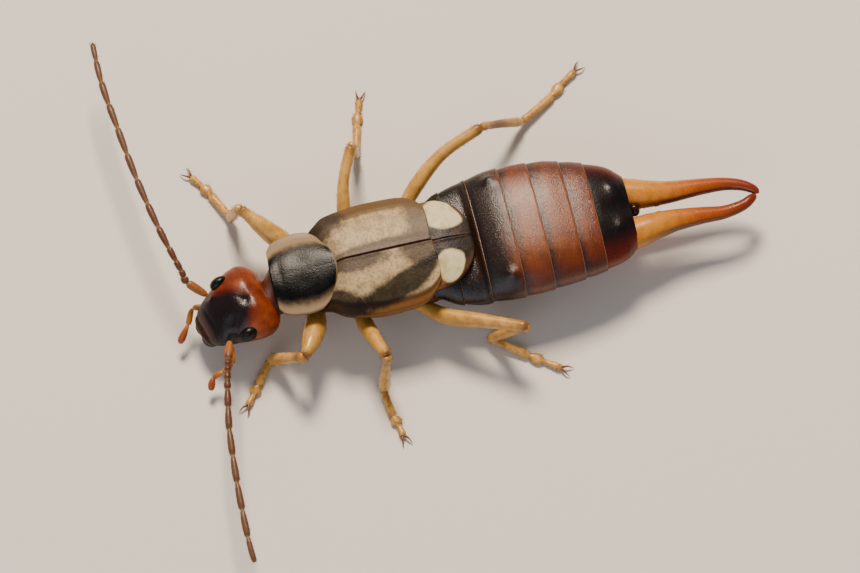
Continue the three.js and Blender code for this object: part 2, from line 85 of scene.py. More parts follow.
# Smooth card with matt emulsion: it scatters the light, so it shows a soft shadow and no highlight.
card, tree, output = new_material("painted_card")
surface = add(tree, "ShaderNodeBsdfPrincipled",
              values={"Base Color": linear(FLOOR_COLOUR), "Roughness": 0.85, "Specular IOR Level": 0.2})
tree.links.new(surface.outputs[0], output.inputs["Surface"])
corners = [(-1, -1), (1, -1), (1, 1), (-1, 1)]
floor_mesh = bpy.data.meshes.new("floor")
floor_mesh.from_pydata([(x * FLOOR_HALF_SIDE * MM, y * FLOOR_HALF_SIDE * MM, 0) for x, y in corners],
                       [], [(0, 1, 2, 3)])
floor_mesh.materials.append(card)
floor = bpy.data.objects.new("floor", floor_mesh)
bpy.context.scene.collection.objects.link(floor)

lens = bpy.data.cameras.new("camera")
lens.lens = LENS
lens.sensor_width = SENSOR
lens.clip_start = 0.01
lens.clip_end = 10.0
camera = bpy.data.objects.new("camera", lens)
bpy.context.scene.collection.objects.link(camera)
towards_camera = Vector((math.sin(CAMERA_AZIMUTH) * math.cos(CAMERA_ELEVATION),
                         -math.cos(CAMERA_AZIMUTH) * math.cos(CAMERA_ELEVATION),
                         math.sin(CAMERA_ELEVATION)))
camera_distance = FRAME_WIDTH * MM * LENS / SENSOR
camera.location = Vector(placed(CAMERA_AIM)) + towards_camera * camera_distance
camera.rotation_euler = towards_camera.to_track_quat("Z", "Y").to_euler()
bpy.context.scene.camera = camera

# Lights: a large softbox above the animal's right side, a weaker one from the front left, and a
# pale even surround, as a table-top studio has.
LIGHTS = {
    "key": {"place": (-143, 13, 206), "side": 66, "watts": 1.1, "colour": "#ffecd6"},
    "fill": {"place": (190, -110, 120), "side": 200, "watts": 0.2, "colour": "#f4f2ff"},
}
WORLD_COLOUR = "#e6e8ea"
WORLD_STRENGTH = 0.27
for name, plan in LIGHTS.items():
    softbox = bpy.data.lights.new(name, "AREA")
    softbox.shape = "SQUARE"
    softbox.size = plan["side"] * MM
    softbox.energy = plan["watts"]
    softbox.color = linear(plan["colour"])[:3]
    lamp = bpy.data.objects.new(name, softbox)
    lamp.location = Vector(plan["place"]) * MM
    lamp.rotation_euler = lamp.location.to_track_quat("Z", "Y").to_euler()
    bpy.context.scene.collection.objects.link(lamp)
world = bpy.data.worlds.new("studio")
world.use_nodes = True
world.node_tree.nodes.clear()
sky = add(world.node_tree, "ShaderNodeBackground",
          values={"Color": linear(WORLD_COLOUR), "Strength": WORLD_STRENGTH})
add(world.node_tree, "ShaderNodeOutputWorld", {"Surface": sky.outputs[0]})
bpy.context.scene.world = world

# Abdomen: seven visible rings of hard cuticle, each tucked under the hind edge of the one before
# and joined by soft skin, so the rings telescope. Glossy, black in front, red-brown behind.
MIDLINE_X = -0.15
MIDLINE_BEND_Y = 8.0
MIDLINE_SLOPE = 0.055
ABDOMEN_JOINTS = [4.16, 4.68, 5.52, 6.53, 7.43, 8.4, 9.1, 10.18]
ABDOMEN_HALF_WIDTH = [(4.1, 1.58), (4.65, 1.85), (5.55, 2.02), (6.55, 2.1), (7.5, 2.06), (8.4, 1.93),
                      (9.2, 1.73), (9.8, 1.5), (10.2, 1.15)]
ABDOMEN_TOP = [(4.1, 1.98), (5.3, 2.06), (5.6, 2.34), (6.5, 2.56), (7.5, 2.58), (8.4, 2.5), (9.1, 2.4),
               (10.2, 2.1)]
ABDOMEN_UNDERSIDE = [(4.1, 0.85), (6.5, 0.78), (8.4, 0.84), (10.2, 1.08)]
RING_SIDES = 120
RING_TUCK = 0.3
RING_LAP = 0.05
RING_LIP = 0.011
LIP_ROLL, LIP_RETURN = 0.012, 0.02
SIDE_FULLNESS, TOP_FULLNESS = 0.85, 0.9
BELLY_STEP = 0.03
GLAND_FOLD = (1.56, 6.2)
GLAND_FOLD_SIZE = (0.16, 0.2)
GLAND_FOLD_RISE = 0.1
SWELLING = (0.6, 9.86)
SWELLING_SIZE = (0.28, 0.24)
SWELLING_RISE = 0.05
PORE = (0.66, 9.72)
PORE_RIM, PORE_RIM_WIDTH = 0.045, 0.08
PORE_DEPTH, PORE_WIDTH = 0.05, 0.035
DIP_DEPTH, DIP_WIDTH = 0.1, 0.22
DIP_FROM_Y, DIP_LENGTH = 9.3, 0.9


def along(stations, place):
    """A size read from stations, each a place and the size there, by a smooth curve that keeps
    every rise and fall between its stations."""
    places, sizes = np.array(stations, float).T
    place = np.clip(np.asarray(place, float), places[0], places[-1])
    step = np.diff(places)
    rise = np.diff(sizes) / step
    level = rise[1:] * rise[:-1] <= 0
    inner = np.where(level, 0, 2 * rise[1:] * rise[:-1] / np.where(level, 1, rise[1:] + rise[:-1]))
    slope = np.concatenate([rise[:1], inner, rise[-1:]])
    k = np.clip(np.searchsorted(places, place) - 1, 0, len(places) - 2)
    t = (place - places[k]) / step[k]
    return (sizes[k] * (1 + 2 * t) * (1 - t) ** 2 + slope[k] * step[k] * t * (1 - t) ** 2
            + sizes[k + 1] * t * t * (3 - 2 * t) - slope[k + 1] * step[k] * t * t * (1 - t))


def midline(y):
    """x of the body's middle line."""
    return MIDLINE_X + MIDLINE_SLOPE * np.maximum(0, np.asarray(y, float) - MIDLINE_BEND_Y)


def bell(distance, width):
    """A smooth bump of height 1 that fades over the width."""
    return np.exp(-((distance / width) ** 2))


def make_piece(name, points, faces, material, slot, **marks):
    """A smooth mesh object from animal-frame points; marks are numbers kept on each vertex."""
    mesh = bpy.data.meshes.new(name)
    mesh.from_pydata(placed(points).tolist(), [], faces)
    for mark, values in marks.items():
        layer = mesh.attributes.new(mark, "FLOAT", "POINT")
        layer.data.foreach_set("value", np.asarray(values, np.float32).ravel())
    mesh.materials.append(material)
    mesh.shade_smooth()
    mesh.update()
    piece = bpy.data.objects.new(name, mesh)
    bpy.context.scene.collection.objects.link(piece)
    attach(piece, "root")
    return piece


def loft(rings, **marks):
    """Points, outward faces and marks of a closed body through rings of points, ends capped."""
    count, around = rings.shape[:2]
    points = np.vstack([rings.reshape(-1, 3), rings[0].mean(0), rings[-1].mean(0)])
    faces = []
    for i in range(count - 1):
        for j in range(around):
            k = (j + 1) % around
            faces.append((i * around + j, i * around + k, (i + 1) * around + k, (i + 1) * around + j))
    last = (count - 1) * around
    for j in range(around):
        k = (j + 1) % around
        faces.append((count * around, k, j))
        faces.append((count * around + 1, last + j, last + k))
    kept = {mark: np.append(np.broadcast_to(values, (count, around)).ravel(),
                            [np.mean(np.broadcast_to(values, (count, around))[0]),
                             np.mean(np.broadcast_to(values, (count, around))[-1])])
            for mark, values in marks.items()}
    return points, faces, kept


def gland_folds(x, y, z, upper):
    """The scent glands' two raised folds, at the sides of the third ring."""
    side, fold_y = GLAND_FOLD
    for sign in (-1, 1):
        fold = bell(x - midline(y) - sign * side, GLAND_FOLD_SIZE[0]) * bell(y - fold_y, GLAND_FOLD_SIZE[1])
        fold = fold * upper
        z = z + GLAND_FOLD_RISE * fold
        x = x + sign * GLAND_FOLD_RISE / 2 * fold
    return x, z


def forceps_swellings(x, y, z, upper):
    """The last ring's two swellings over the forceps, each with a small rimmed pore, and the dip
    between them."""
    for sign in (-1, 1):
        across = bell(x - midline(y) - sign * SWELLING[0], SWELLING_SIZE[0])
        z = z + SWELLING_RISE * across * bell(y - SWELLING[1], SWELLING_SIZE[1]) * upper
        pore = np.hypot(x - midline(y) - sign * PORE[0], y - PORE[1])
        z = z + (PORE_RIM * bell(pore, PORE_RIM_WIDTH) - PORE_DEPTH * bell(pore, PORE_WIDTH)) * upper
    deepening = np.clip((y - DIP_FROM_Y) / DIP_LENGTH, 0, 1)
    return z - DIP_DEPTH * bell(x - midline(y), DIP_WIDTH) * deepening * upper


def abdomen_ring(index, steps=16):
    """Points, faces and marks of one ring: front edge tucked in, hind edge a thin rolled lip. The
    marks are the share of its length, and how far round from the belly a point is."""
    from_y, to_y = ABDOMEN_JOINTS[index], ABDOMEN_JOINTS[index + 1]
    v = np.linspace(0, 1, steps)[:, None]
    y = from_y - RING_TUCK + (to_y + RING_TUCK - from_y) * v
    part = (y - from_y) / (to_y - from_y)
    angle = np.linspace(0, 2 * math.pi, RING_SIDES, endpoint=False)[None, :]
    sine, cosine = np.sin(angle), np.cos(angle)
    swell = 1 - RING_LAP + RING_LAP * np.clip((part + 0.35) / 0.9, 0, 1) ** 0.6
    swell = swell + 0.003 * bell(part - 0.97, 0.06)
    plate = 1 - BELLY_STEP * np.clip((-cosine - 0.25) / 0.2, 0, 1)
    half = along(ABDOMEN_HALF_WIDTH, y) * swell * plate
    top, underside = along(ABDOMEN_TOP, y), along(ABDOMEN_UNDERSIDE, y)
    high = (top - underside) / 2 * (1 - 1.35 * (1 - swell)) * plate
    x = midline(y) + np.sign(sine) * np.abs(sine) ** SIDE_FULLNESS * half
    z = (top + underside) / 2 + np.sign(cosine) * np.abs(cosine) ** TOP_FULLNESS * high
    y = np.broadcast_to(y, x.shape).copy()
    if index == 2:
        x, z = gland_folds(x, y, z, cosine > 0)
    if index == 6:
        z = forceps_swellings(x, y, z, cosine > 0)
    rings = np.stack([x, y, z], -1)
    lip = rings[-1].copy()
    middle = lip.mean(0)
    inner = middle + (lip - middle) * (1 - RING_LIP)
    inner[:, 1] = lip[:, 1] + LIP_ROLL
    deep = middle + (lip - middle) * (1 - 2.6 * RING_LIP)
    deep[:, 1] = lip[:, 1] - LIP_RETURN
    rings = np.concatenate([rings, inner[None], deep[None]])
    part = np.concatenate([np.broadcast_to(part, x.shape), np.ones((2, RING_SIDES))])
    back = np.broadcast_to(np.abs(angle - math.pi) / math.pi, rings.shape[:2])
    return loft(rings, part=part, back=back)


CUTICLE_IOR = 1.5
BUMP_HEIGHT = 0.02
ROUGHNESS_SPREAD = 0.06
SCATTER_MM = (0.4, 0.2, 0.1)


def cuticle(name, colour, roughness, coat, bump, coat_roughness=0.18, grain=0.05, thin=0.0, shine=0.35):
    """Insect cuticle: chitin and protein, set hard in layers, with a skin of wax. The wax gives the
    gloss, fine pits of the grain's size in millimetres break it up, and a thin piece lets a share of
    the light through. The colour is made by the function given, from the tree and the place in
    millimetres."""
    material, tree, output = new_material(name)
    place = add(tree, "ShaderNodeTexCoord")
    in_mm = add(tree, "ShaderNodeVectorMath", {0: place.outputs["Object"]}, {1: (1000, 1000, 1000)},
                operation="MULTIPLY")
    shade = colour(tree, in_mm.outputs[0])
    pits = add(tree, "ShaderNodeTexNoise", {"Vector": in_mm.outputs[0]},
               {"Scale": 1 / grain, "Detail": 3.0, "Roughness": 0.6})
    relief = add(tree, "ShaderNodeBump", {"Height": pits.outputs["Fac"]},
                 {"Strength": bump, "Distance": BUMP_HEIGHT * MM})
    patchy = add(tree, "ShaderNodeMapRange", {"Value": pits.outputs["Fac"]},
                 {"From Min": 0.3, "From Max": 0.7,
                  "To Min": roughness - ROUGHNESS_SPREAD, "To Max": roughness + ROUGHNESS_SPREAD})
    skin = add(tree, "ShaderNodeBsdfPrincipled",
               {"Base Color": shade, "Normal": relief.outputs[0], "Roughness": patchy.outputs[0]},
               {"IOR": CUTICLE_IOR, "Specular IOR Level": shine, "Coat Weight": coat,
                "Coat Roughness": coat_roughness, "Subsurface Weight": thin,
                "Subsurface Radius": [reach * MM for reach in SCATTER_MM], "Subsurface Scale": 1.0})
    tree.links.new(skin.outputs[0], output.inputs["Surface"])
    return material


def mark(tree, name):
    """The number kept on the vertices under that name."""
    return add(tree, "ShaderNodeAttribute", attribute_name=name).outputs["Fac"]


def blended(tree, share, first, second):
    """Two colours mixed by share; each is a hex colour or a socket."""
    mix = add(tree, "ShaderNodeMix", {"Factor": share}, data_type="RGBA")
    for socket, colour in zip((6, 7), (first, second)):
        if isinstance(colour, str):
            mix.inputs[socket].default_value = linear(colour)
        else:
            tree.links.new(colour, mix.inputs[socket])
    return mix.outputs[2]


def ramp(tree, value, start, end):
    """0 at the start value, smoothly to 1 at the end value, which may be the lower one."""
    return add(tree, "ShaderNodeMapRange", {"Value": value}, {"From Min": start, "From Max": end},
               interpolation_type="SMOOTHSTEP").outputs[0]


def speckle(tree, place, size, low=0.45, high=0.6):
    """Blotches about size millimetres across, 0 to 1."""
    noise = add(tree, "ShaderNodeTexNoise", {"Vector": place}, {"Scale": 1 / size, "Detail": 4.0})
    return ramp(tree, noise.outputs["Fac"], low, high)


def times(tree, one, other):
    """Product of two shares."""
    sockets = {k: s for k, s in enumerate((one, other)) if not isinstance(s, float)}
    numbers = {k: s for k, s in enumerate((one, other)) if isinstance(s, float)}
    return add(tree, "ShaderNodeMath", sockets, numbers, operation="MULTIPLY").outputs[0]


ROW_SHIFT_Y = -float(OUTLINE_MIDDLE[1])
CLOUD_WIDTH = 5 / 7
BLACK_TO_BROWN_Y = (6.45, 7.35)
BROWN_TO_DARK_Y = (7.9, 9.9)


def rearward(tree, place):
    """How far to the rear the place is, in the row's millimetres."""
    return add(tree, "ShaderNodeSeparateXYZ", {0: place}).outputs["Y"]


def abdomen_colour(tree, place):
    """Black front rings, then orange-brown to red-brown, each lighter along the top as a painted highlight,
    dark at each ring's front edge and with a thin pale line at its hind one."""
    y = rearward(tree, place)
    cloudy = add(tree, "ShaderNodeTexNoise", {"Vector": place}, {"Scale": 1 / CLOUD_WIDTH, "Detail": 4.0})
    wavy = add(tree, "ShaderNodeMath", {0: cloudy.outputs["Fac"], 2: y}, {1: 0.9}, operation="MULTIPLY_ADD")
    rear = ramp(tree, wavy.outputs[0], *(y + ROW_SHIFT_Y for y in BLACK_TO_BROWN_Y))
    late = ramp(tree, wavy.outputs[0], *(y + ROW_SHIFT_Y for y in BROWN_TO_DARK_Y))
    # Painted highlight: each ring's colour turns lighter along the top of the back, where the key light's
    # sheen lies.
    back = ramp(tree, mark(tree, "back"), 0.62, 0.92)
    front_with_painted_highlight = blended(tree, back, "#030202", "#241307")
    mid_with_painted_highlight = blended(tree, back, "#5e2204", "#7d3f12")
    late_with_painted_highlight = blended(tree, back, "#4a1604", "#672808")
    shade = blended(tree, rear, front_with_painted_highlight, blended(tree, late, mid_with_painted_highlight, late_with_painted_highlight))
    shade = blended(tree, times(tree, speckle(tree, place, 0.4, 0.4, 0.7), 0.35), shade, "#150705")
    ragged = add(tree, "ShaderNodeMath", {0: cloudy.outputs["Fac"], 2: mark(tree, "part")}, {1: 0.35},
                 operation="MULTIPLY_ADD").outputs[0]
    base = ramp(tree, ragged, 0.58, 0.12)
    shade = blended(tree, times(tree, base, 0.85), shade, "#0f090d")
    edge = ramp(tree, mark(tree, "part"), 0.985, 0.998)
    shade = blended(tree, times(tree, edge, 0.5), shade, "#a87c54")
    under = ramp(tree, mark(tree, "back"), 0.42, 0.3)
    return blended(tree, times(tree, under, 0.6), shade, "#5a260e")


# The back plates are the glossiest cuticle of the body: a broad warm highlight with a fine sparkle, over a
# painted highlight in the colour along the top of each ring.
abdomen_skin = cuticle("abdomen_cuticle", abdomen_colour, 0.25, coat=0.05, coat_roughness=0.2, bump=0.7,
                       grain=0.04, shine=0.5)
for index in range(6):
    points, faces, marks = abdomen_ring(index)
    ring = make_piece(f"abdomen_tergite_{index + 1}", points, faces, abdomen_skin, "abdomen", **marks)
    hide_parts(f"abdomen_ring_{index + 1}")

# Last ring: one heavy glossy near-black plate with two swellings over the forceps' roots, and the
# small tail plate between the forceps.


def last_ring_colour(tree, place):
    """Near-black on top, red-brown at the sides and hind corners."""
    back = ramp(tree, mark(tree, "back"), 0.55, 0.86)
    shade = blended(tree, back, "#6a1d05", "#070304")
    return blended(tree, times(tree, speckle(tree, place, 0.3), 0.3), shade, "#24090a")


# Thick dark cuticle takes up most of the light, so only small highlights stand on it.
last_skin = cuticle("last_ring_cuticle", last_ring_colour, 0.3, coat=0.05, bump=0.4, shine=0.3)
points, faces, marks = abdomen_ring(6, steps=26)
last_ring = make_piece("abdomen_last_tergite", points, faces, last_skin, "last_ring", **marks)
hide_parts("abdomen_last_ring")


EGG_END = 0.06


def egg(centre, radii, around=32, steps=20, squareness=1.0):
    """Rings of an ellipsoid along y, with a tiny flat at each end. A squareness under 1 fills it out."""
    turn = np.linspace(EGG_END, math.pi - EGG_END, steps)[:, None]
    angle = np.linspace(0, 2 * math.pi, around, endpoint=False)[None, :]
    x = centre[0] + radii[0] * np.sin(turn) ** squareness * np.sin(angle)
    z = centre[2] + radii[2] * np.sin(turn) ** squareness * np.cos(angle)
    y = np.broadcast_to(centre[1] - radii[1] * np.cos(turn), x.shape)
    return np.stack([x, y, z], -1)


PYGIDIUM_BEHIND = 0.14
PYGIDIUM_HEIGHT = 1.66
PYGIDIUM_RADII = (0.19, 0.17, 0.26)
pygidium_y = ABDOMEN_JOINTS[7] + PYGIDIUM_BEHIND
rings = egg((midline(pygidium_y), pygidium_y, PYGIDIUM_HEIGHT), PYGIDIUM_RADII, squareness=0.7)
points, faces, marks = loft(rings, back=0.8, part=0.5)
pygidium = make_piece("pygidium", points, faces, last_skin, "last_ring", **marks)
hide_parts("pygidium")

# Forceps: two hard curved jaws at the tail, thick and toothed inside at the root, slim and smooth
# to the tips, which meet. Amber cuticle that darkens to red-brown.
FORCEPS = {
    "right": [(-0.68, 10.0, 1.56), (-0.6, 10.35, 1.55), (-0.5, 10.8, 1.54), (-0.42, 11.45, 1.5),
              (-0.39, 12.45, 1.45), (-0.33, 13.16, 1.42), (-0.18, 13.68, 1.41), (0.02, 14.0, 1.41),
              (0.19, 14.16, 1.4)],
    "left": [(0.7, 10.0, 1.56), (0.66, 10.35, 1.55), (0.59, 10.8, 1.54), (0.52, 11.45, 1.5),
             (0.53, 12.3, 1.45), (0.57, 12.95, 1.42), (0.48, 13.55, 1.41), (0.31, 13.9, 1.41),
             (0.18, 14.04, 1.4)],
}
FORCEPS_HALF_WIDTH = [(0, 0.5), (0.1, 0.47), (0.2, 0.42), (0.37, 0.34), (0.57, 0.26), (0.74, 0.205),
                      (0.88, 0.17), (0.95, 0.14), (0.985, 0.09), (1, 0.02)]
FORCEPS_HALF_HEIGHT = [(0, 0.44), (0.15, 0.4), (0.35, 0.3), (0.7, 0.2), (0.92, 0.14), (0.985, 0.07),
                       (1, 0.02)]
FORCEPS_SIDES = 40
TOOTH_SPACING = math.tau / 260
TOOTH_HEIGHT, END_TOOTH_HEIGHT = 0.055, 0.07
HEADING_STEP = 0.02


def eased(start, end, count):
    """Shares of a length that lie closer together towards both ends."""
    return 0.5 - 0.5 * np.cos(np.linspace(start, end, count) * math.pi)


def spline(points, shares):
    """Places and directions at shares of the length of a smooth curve through the points."""
    knots = np.array(points, float)
    padded = np.vstack([2 * knots[0] - knots[1], knots, 2 * knots[-1] - knots[-2]])
    dense = []
    for k in range(len(knots) - 1):
        a, b, c, d = padded[k:k + 4]
        t = np.linspace(0, 1, 40, endpoint=k == len(knots) - 2)[:, None]
        dense.append(0.5 * (2 * b + (c - a) * t + (2 * a - 5 * b + 4 * c - d) * t ** 2
                            + (3 * b - a - 3 * c + d) * t ** 3))
    dense = np.vstack(dense)
    run = np.append(0, np.cumsum(np.linalg.norm(np.diff(dense, axis=0), axis=1)))
    shares = np.asarray(shares, float) * run[-1]
    place = np.stack([np.interp(shares, run, dense[:, k]) for k in range(3)], -1)
    ahead = np.stack([np.interp(shares + HEADING_STEP, run, dense[:, k]) for k in range(3)], -1)
    behind = np.stack([np.interp(shares - HEADING_STEP, run, dense[:, k]) for k in range(3)], -1)
    direction = ahead - behind
    return place, direction / np.linalg.norm(direction, axis=1)[:, None]


def tube(points, shares, half_width, half_height, around, shape=None):
    """Rings of an oval section along a curve; shape may scale the section at a share and an angle."""
    place, direction = spline(points, shares)
    side = np.cross(direction, (0, 0, 1))
    side /= np.linalg.norm(side, axis=1)[:, None]
    lift = np.cross(side, direction)
    angle = np.linspace(0, 2 * math.pi, around, endpoint=False)
    across, high = np.sin(angle)[None, :], np.cos(angle)[None, :]
    scale = shape(np.asarray(shares)[:, None], angle[None, :]) if shape else np.ones((len(shares), around))
    wide = (np.asarray(half_width)[:, None] * across * scale)[..., None]
    tall = (np.asarray(half_height)[:, None] * high * scale)[..., None]
    return place[:, None] + side[:, None] * wide + lift[:, None] * tall


def forceps_colour(tree, place):
    """Amber at the root, orange in the middle, red-brown towards tip and edges."""
    run = mark(tree, "run")
    shade = blended(tree, ramp(tree, run, 0.15, 0.6), "#c88325", "#a8500d")
    shade = blended(tree, ramp(tree, run, 0.45, 1.0), shade, "#701f07")
    rim = times(tree, ramp(tree, mark(tree, "rim"), 0.68, 0.96), ramp(tree, run, -0.1, 0.35))
    shade = blended(tree, times(tree, rim, 0.9), shade, "#3d0d06")
    return blended(tree, times(tree, speckle(tree, place, 0.25), 0.25), shade, "#83380c")


def toothed(share, angle, inward):
    """Scale of the section: small teeth on the inner side near the root, and one larger at their end."""
    facing = np.clip(np.sin(angle) * inward, 0, 1) ** 4
    wave = 0.5 + 0.5 * np.sin(share * math.tau / TOOTH_SPACING)
    teeth = wave * bell(share - 0.17, 0.07) * TOOTH_HEIGHT
    return 1 + facing * (teeth + END_TOOTH_HEIGHT * bell(share - 0.26, 0.015))


# The hardest and smoothest cuticle, clear amber under its wax: a sharp line of light along each arm.
forceps_skin = cuticle("forceps_cuticle", forceps_colour, 0.27, coat=0.25, coat_roughness=0.15, bump=0.2,
                       grain=0.06, thin=0.1)
for side, inward in (("right", 1), ("left", -1)):
    shares = eased(0.04, 1, 140)
    rings = tube(FORCEPS[side], shares, along(FORCEPS_HALF_WIDTH, shares), along(FORCEPS_HALF_HEIGHT, shares),
                 FORCEPS_SIDES, shape=lambda share, angle: toothed(share, angle, inward))
    rim = np.abs(np.sin(np.linspace(0, 2 * math.pi, FORCEPS_SIDES, endpoint=False)))[None, :]
    points, faces, marks = loft(rings, run=shares[:, None], rim=rim)
    arm = make_piece(f"forceps_{side}", points, faces, forceps_skin, "forceps", **marks)
    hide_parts(f"forceps_{side}")

# Thorax and neck: the soft and hard brown parts of the trunk under the shield and the wings, made
# as one skin from the back of the head to the abdomen.
THORAX_HALF_WIDTH = [(-1.2, 0.5), (-0.5, 0.88), (0.9, 1.15), (2.4, 1.42), (3.6, 1.55), (4.4, 1.5)]
THORAX_TOP = [(-1.2, 1.68), (-0.5, 1.8), (0.9, 1.92), (2.4, 2.04), (4.4, 1.95)]
THORAX_UNDERSIDE = [(-1.2, 1.02), (-0.5, 0.95), (0.9, 0.8), (4.4, 0.76)]
THORAX_FRONT, THORAX_REAR = -1.2, 4.35
THORAX_FOLDS = (-0.42, 0.98, 2.45, 4.08)
FOLD_WIDTH, FOLD_PINCH = 0.09, 0.06
NECK_BEND_Y, NECK_LENGTH = -0.6, 0.6
NECK_FRONT_X = 0.26


def thorax_colour(tree, place):
    """Brown plates with yellower soft skin in the folds."""
    shade = blended(tree, speckle(tree, place, 0.35), "#35140a", "#5c2d10")
    shade = blended(tree, times(tree, mark(tree, "fold"), 0.5), shade, "#7a4a20")
    neck = ramp(tree, rearward(tree, place), -0.3 + ROW_SHIFT_Y, -0.7 + ROW_SHIFT_Y)
    return blended(tree, neck, shade, "#451406")


# Thinner, less waxed cuticle: it looks dull beside the plates that cover it.
thorax_skin = cuticle("thorax_cuticle", thorax_colour, 0.45, coat=0.2, bump=0.4)
y = np.linspace(THORAX_FRONT, THORAX_REAR, 90)[:, None]
angle = np.linspace(0, 2 * math.pi, 96, endpoint=False)[None, :]
folds = sum(bell(y - fold, FOLD_WIDTH) for fold in THORAX_FOLDS)
pinch = 1 - FOLD_PINCH * folds
x = midline(y) + np.sin(angle) * along(THORAX_HALF_WIDTH, y) * pinch
x = x + (NECK_FRONT_X - MIDLINE_X) * np.clip((NECK_BEND_Y - y) / NECK_LENGTH, 0, 1)
middle = (along(THORAX_TOP, y) + along(THORAX_UNDERSIDE, y)) / 2
z = middle + np.cos(angle) * (along(THORAX_TOP, y) - along(THORAX_UNDERSIDE, y)) / 2 * pinch
rings = np.stack([x, np.broadcast_to(y, x.shape), z], -1)
points, faces, marks = loft(rings, fold=folds)
trunk = make_piece("thorax_and_neck", points, faces, thorax_skin, "underbody", **marks)
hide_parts("neck", "prothorax", "mesothorax", "metathorax")

# Pronotum: the flat shield behind the head, a black glossy disc with a fine groove down its
# middle and pale, thin, horn-like side margins that turn up slightly.
PRONOTUM_FRONT = -0.83
PRONOTUM_REAR = 0.9
PRONOTUM_HALF_WIDTH = [(0, 0.93), (0.1, 1.13), (0.31, 1.26), (0.54, 1.3), (0.74, 1.25), (0.88, 1.1),
                       (1, 0.84)]
PRONOTUM_TOP = 2.34
PRONOTUM_THICKNESS = 0.12
PRONOTUM_REAR_BOW, PRONOTUM_FRONT_BOW = 0.27, 0.03
PRONOTUM_SIDE_DROP = 0.34
MARGIN_START, MARGIN_UPTURN = 0.82, 0.07
PALE_FROM_RIGHT, PALE_FROM_LEFT, PALE_WIDTH = 0.56, 0.68, 0.4
PALE_RAG_WIDTH = 1 / 7
GROOVE_DEPTH = 0.003
COLLAR_DIP = 0.012
DISC_DIMPLE = 0.015


def sheet_shell(top, thickness, **marks):
    """A closed thin shell from a grid of top points: the underside lies lower by the thickness."""
    rows, columns = top.shape[:2]
    under = top.copy()
    under[..., 2] -= thickness
    points = np.vstack([top.reshape(-1, 3), under.reshape(-1, 3)])
    size = rows * columns
    faces = []
    for i in range(rows - 1):
        for j in range(columns - 1):
            a = i * columns + j
            quad = (a, a + 1, a + columns + 1, a + columns)
            faces.append(quad)
            faces.append(tuple(size + k for k in reversed(quad)))
    rim = list(range(columns))
    rim += [i * columns + columns - 1 for i in range(1, rows)]
    rim += [(rows - 1) * columns + j for j in range(columns - 2, -1, -1)]
    rim += [i * columns for i in range(rows - 2, 0, -1)]
    for k, a in enumerate(rim):
        b = rim[(k + 1) % len(rim)]
        faces.append((b, a, size + a, size + b))
    kept = {name: np.tile(np.broadcast_to(values, (rows, columns)).ravel(), 2)
            for name, values in marks.items()}
    return points, faces, kept


def pronotum_colour(tree, place):
    """Black disc, beige horn-like margins with ragged inner edges, and a fine pale rim behind."""
    rough = add(tree, "ShaderNodeTexNoise", {"Vector": place},
                {"Scale": 1 / PALE_RAG_WIDTH, "Detail": 6.0, "Roughness": 0.7})
    shifted = add(tree, "ShaderNodeMath", {0: rough.outputs["Fac"], 2: mark(tree, "margin")}, {1: 0.5},
                  operation="MULTIPLY_ADD").outputs[0]
    disc = blended(tree, speckle(tree, place, 0.3, 0.45, 0.65), "#030304", "#0d0b0f")
    shade = blended(tree, ramp(tree, shifted, 0.1, 0.5), disc, "#4a3b2c")
    shade = blended(tree, ramp(tree, shifted, 0.32, 0.8), shade, "#8f7a5e")
    rear = ramp(tree, mark(tree, "run"), 0.965, 0.99)
    return blended(tree, times(tree, rear, 0.7), shade, "#8a7152")


# Black cuticle with fine pits: the light breaks up into small specks, and the disc stays black.
pronotum_skin = cuticle("pronotum_cuticle", pronotum_colour, 0.3, coat=0.05, coat_roughness=0.2, bump=0.5,
                        thin=0.05, shine=0.17)
u = np.linspace(-1, 1, 61)[None, :]
v = np.linspace(0, 1, 49)[:, None]
y = PRONOTUM_FRONT + (PRONOTUM_REAR - PRONOTUM_FRONT) * v
x = midline(y) + u * along(PRONOTUM_HALF_WIDTH, v)
y = y + PRONOTUM_REAR_BOW * (1 - u ** 2) * v - PRONOTUM_FRONT_BOW * np.cos(u * math.pi) * (1 - v) ** 4
z = PRONOTUM_TOP - PRONOTUM_SIDE_DROP * np.abs(u) ** 2.4 - 0.1 * (1 - v) ** 2 + 0.05 * v ** 3
z = z + MARGIN_UPTURN * np.clip((np.abs(u) - MARGIN_START) / (1 - MARGIN_START), 0, 1) ** 1.5
z = z - GROOVE_DEPTH * bell(u, 0.02) * np.clip(v * 6, 0, 1)
z = z - COLLAR_DIP * bell(v - 0.14, 0.05) * bell(u, 0.4)
z = z - DISC_DIMPLE * bell(v - 0.45, 0.14) * (bell(u - 0.3, 0.18) + bell(u + 0.3, 0.18))
margin = (np.abs(u) - np.where(u < 0, PALE_FROM_RIGHT, PALE_FROM_LEFT)) / PALE_WIDTH
points, faces, marks = sheet_shell(np.stack([x, y, z], -1), PRONOTUM_THICKNESS, margin=margin, run=v)
shield = make_piece("pronotum", points, faces, pronotum_skin, "pronotum", **marks)
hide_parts("pronotum")

# Tegmina: two short leathery forewings that meet in a straight seam and fold down over the flanks.
# Cream with grey speckling, dark brown patches and a brown outer strip; the left has an oblique band.
TEGMEN_FRONT = 0.95
TEGMEN_FRONT_CURVE = 0.34
TEGMEN_REAR = 4.1
TEGMEN_EDGE = [(0, 1.2), (0.08, 1.36), (0.17, 1.58), (0.3, 1.7), (0.54, 1.8), (0.77, 1.77), (0.88, 1.68),
               (0.95, 1.5), (1, 1.28)]
TEGMEN_TOP = 2.52
TEGMEN_HEM, TEGMEN_FRONT_DIP = 0.16, 0.42
COVER_DROP = 0.5
COVER_REACH = 1.8
COVER_THICKNESS = 0.07
HEM_START = 0.88
SEAM_HALF_GAP = 0.008
SEAM_RIDGE = 0.02
PATCH_SOFTNESS = 0.25
PATCH_RAG_WIDTH = 2 / 9


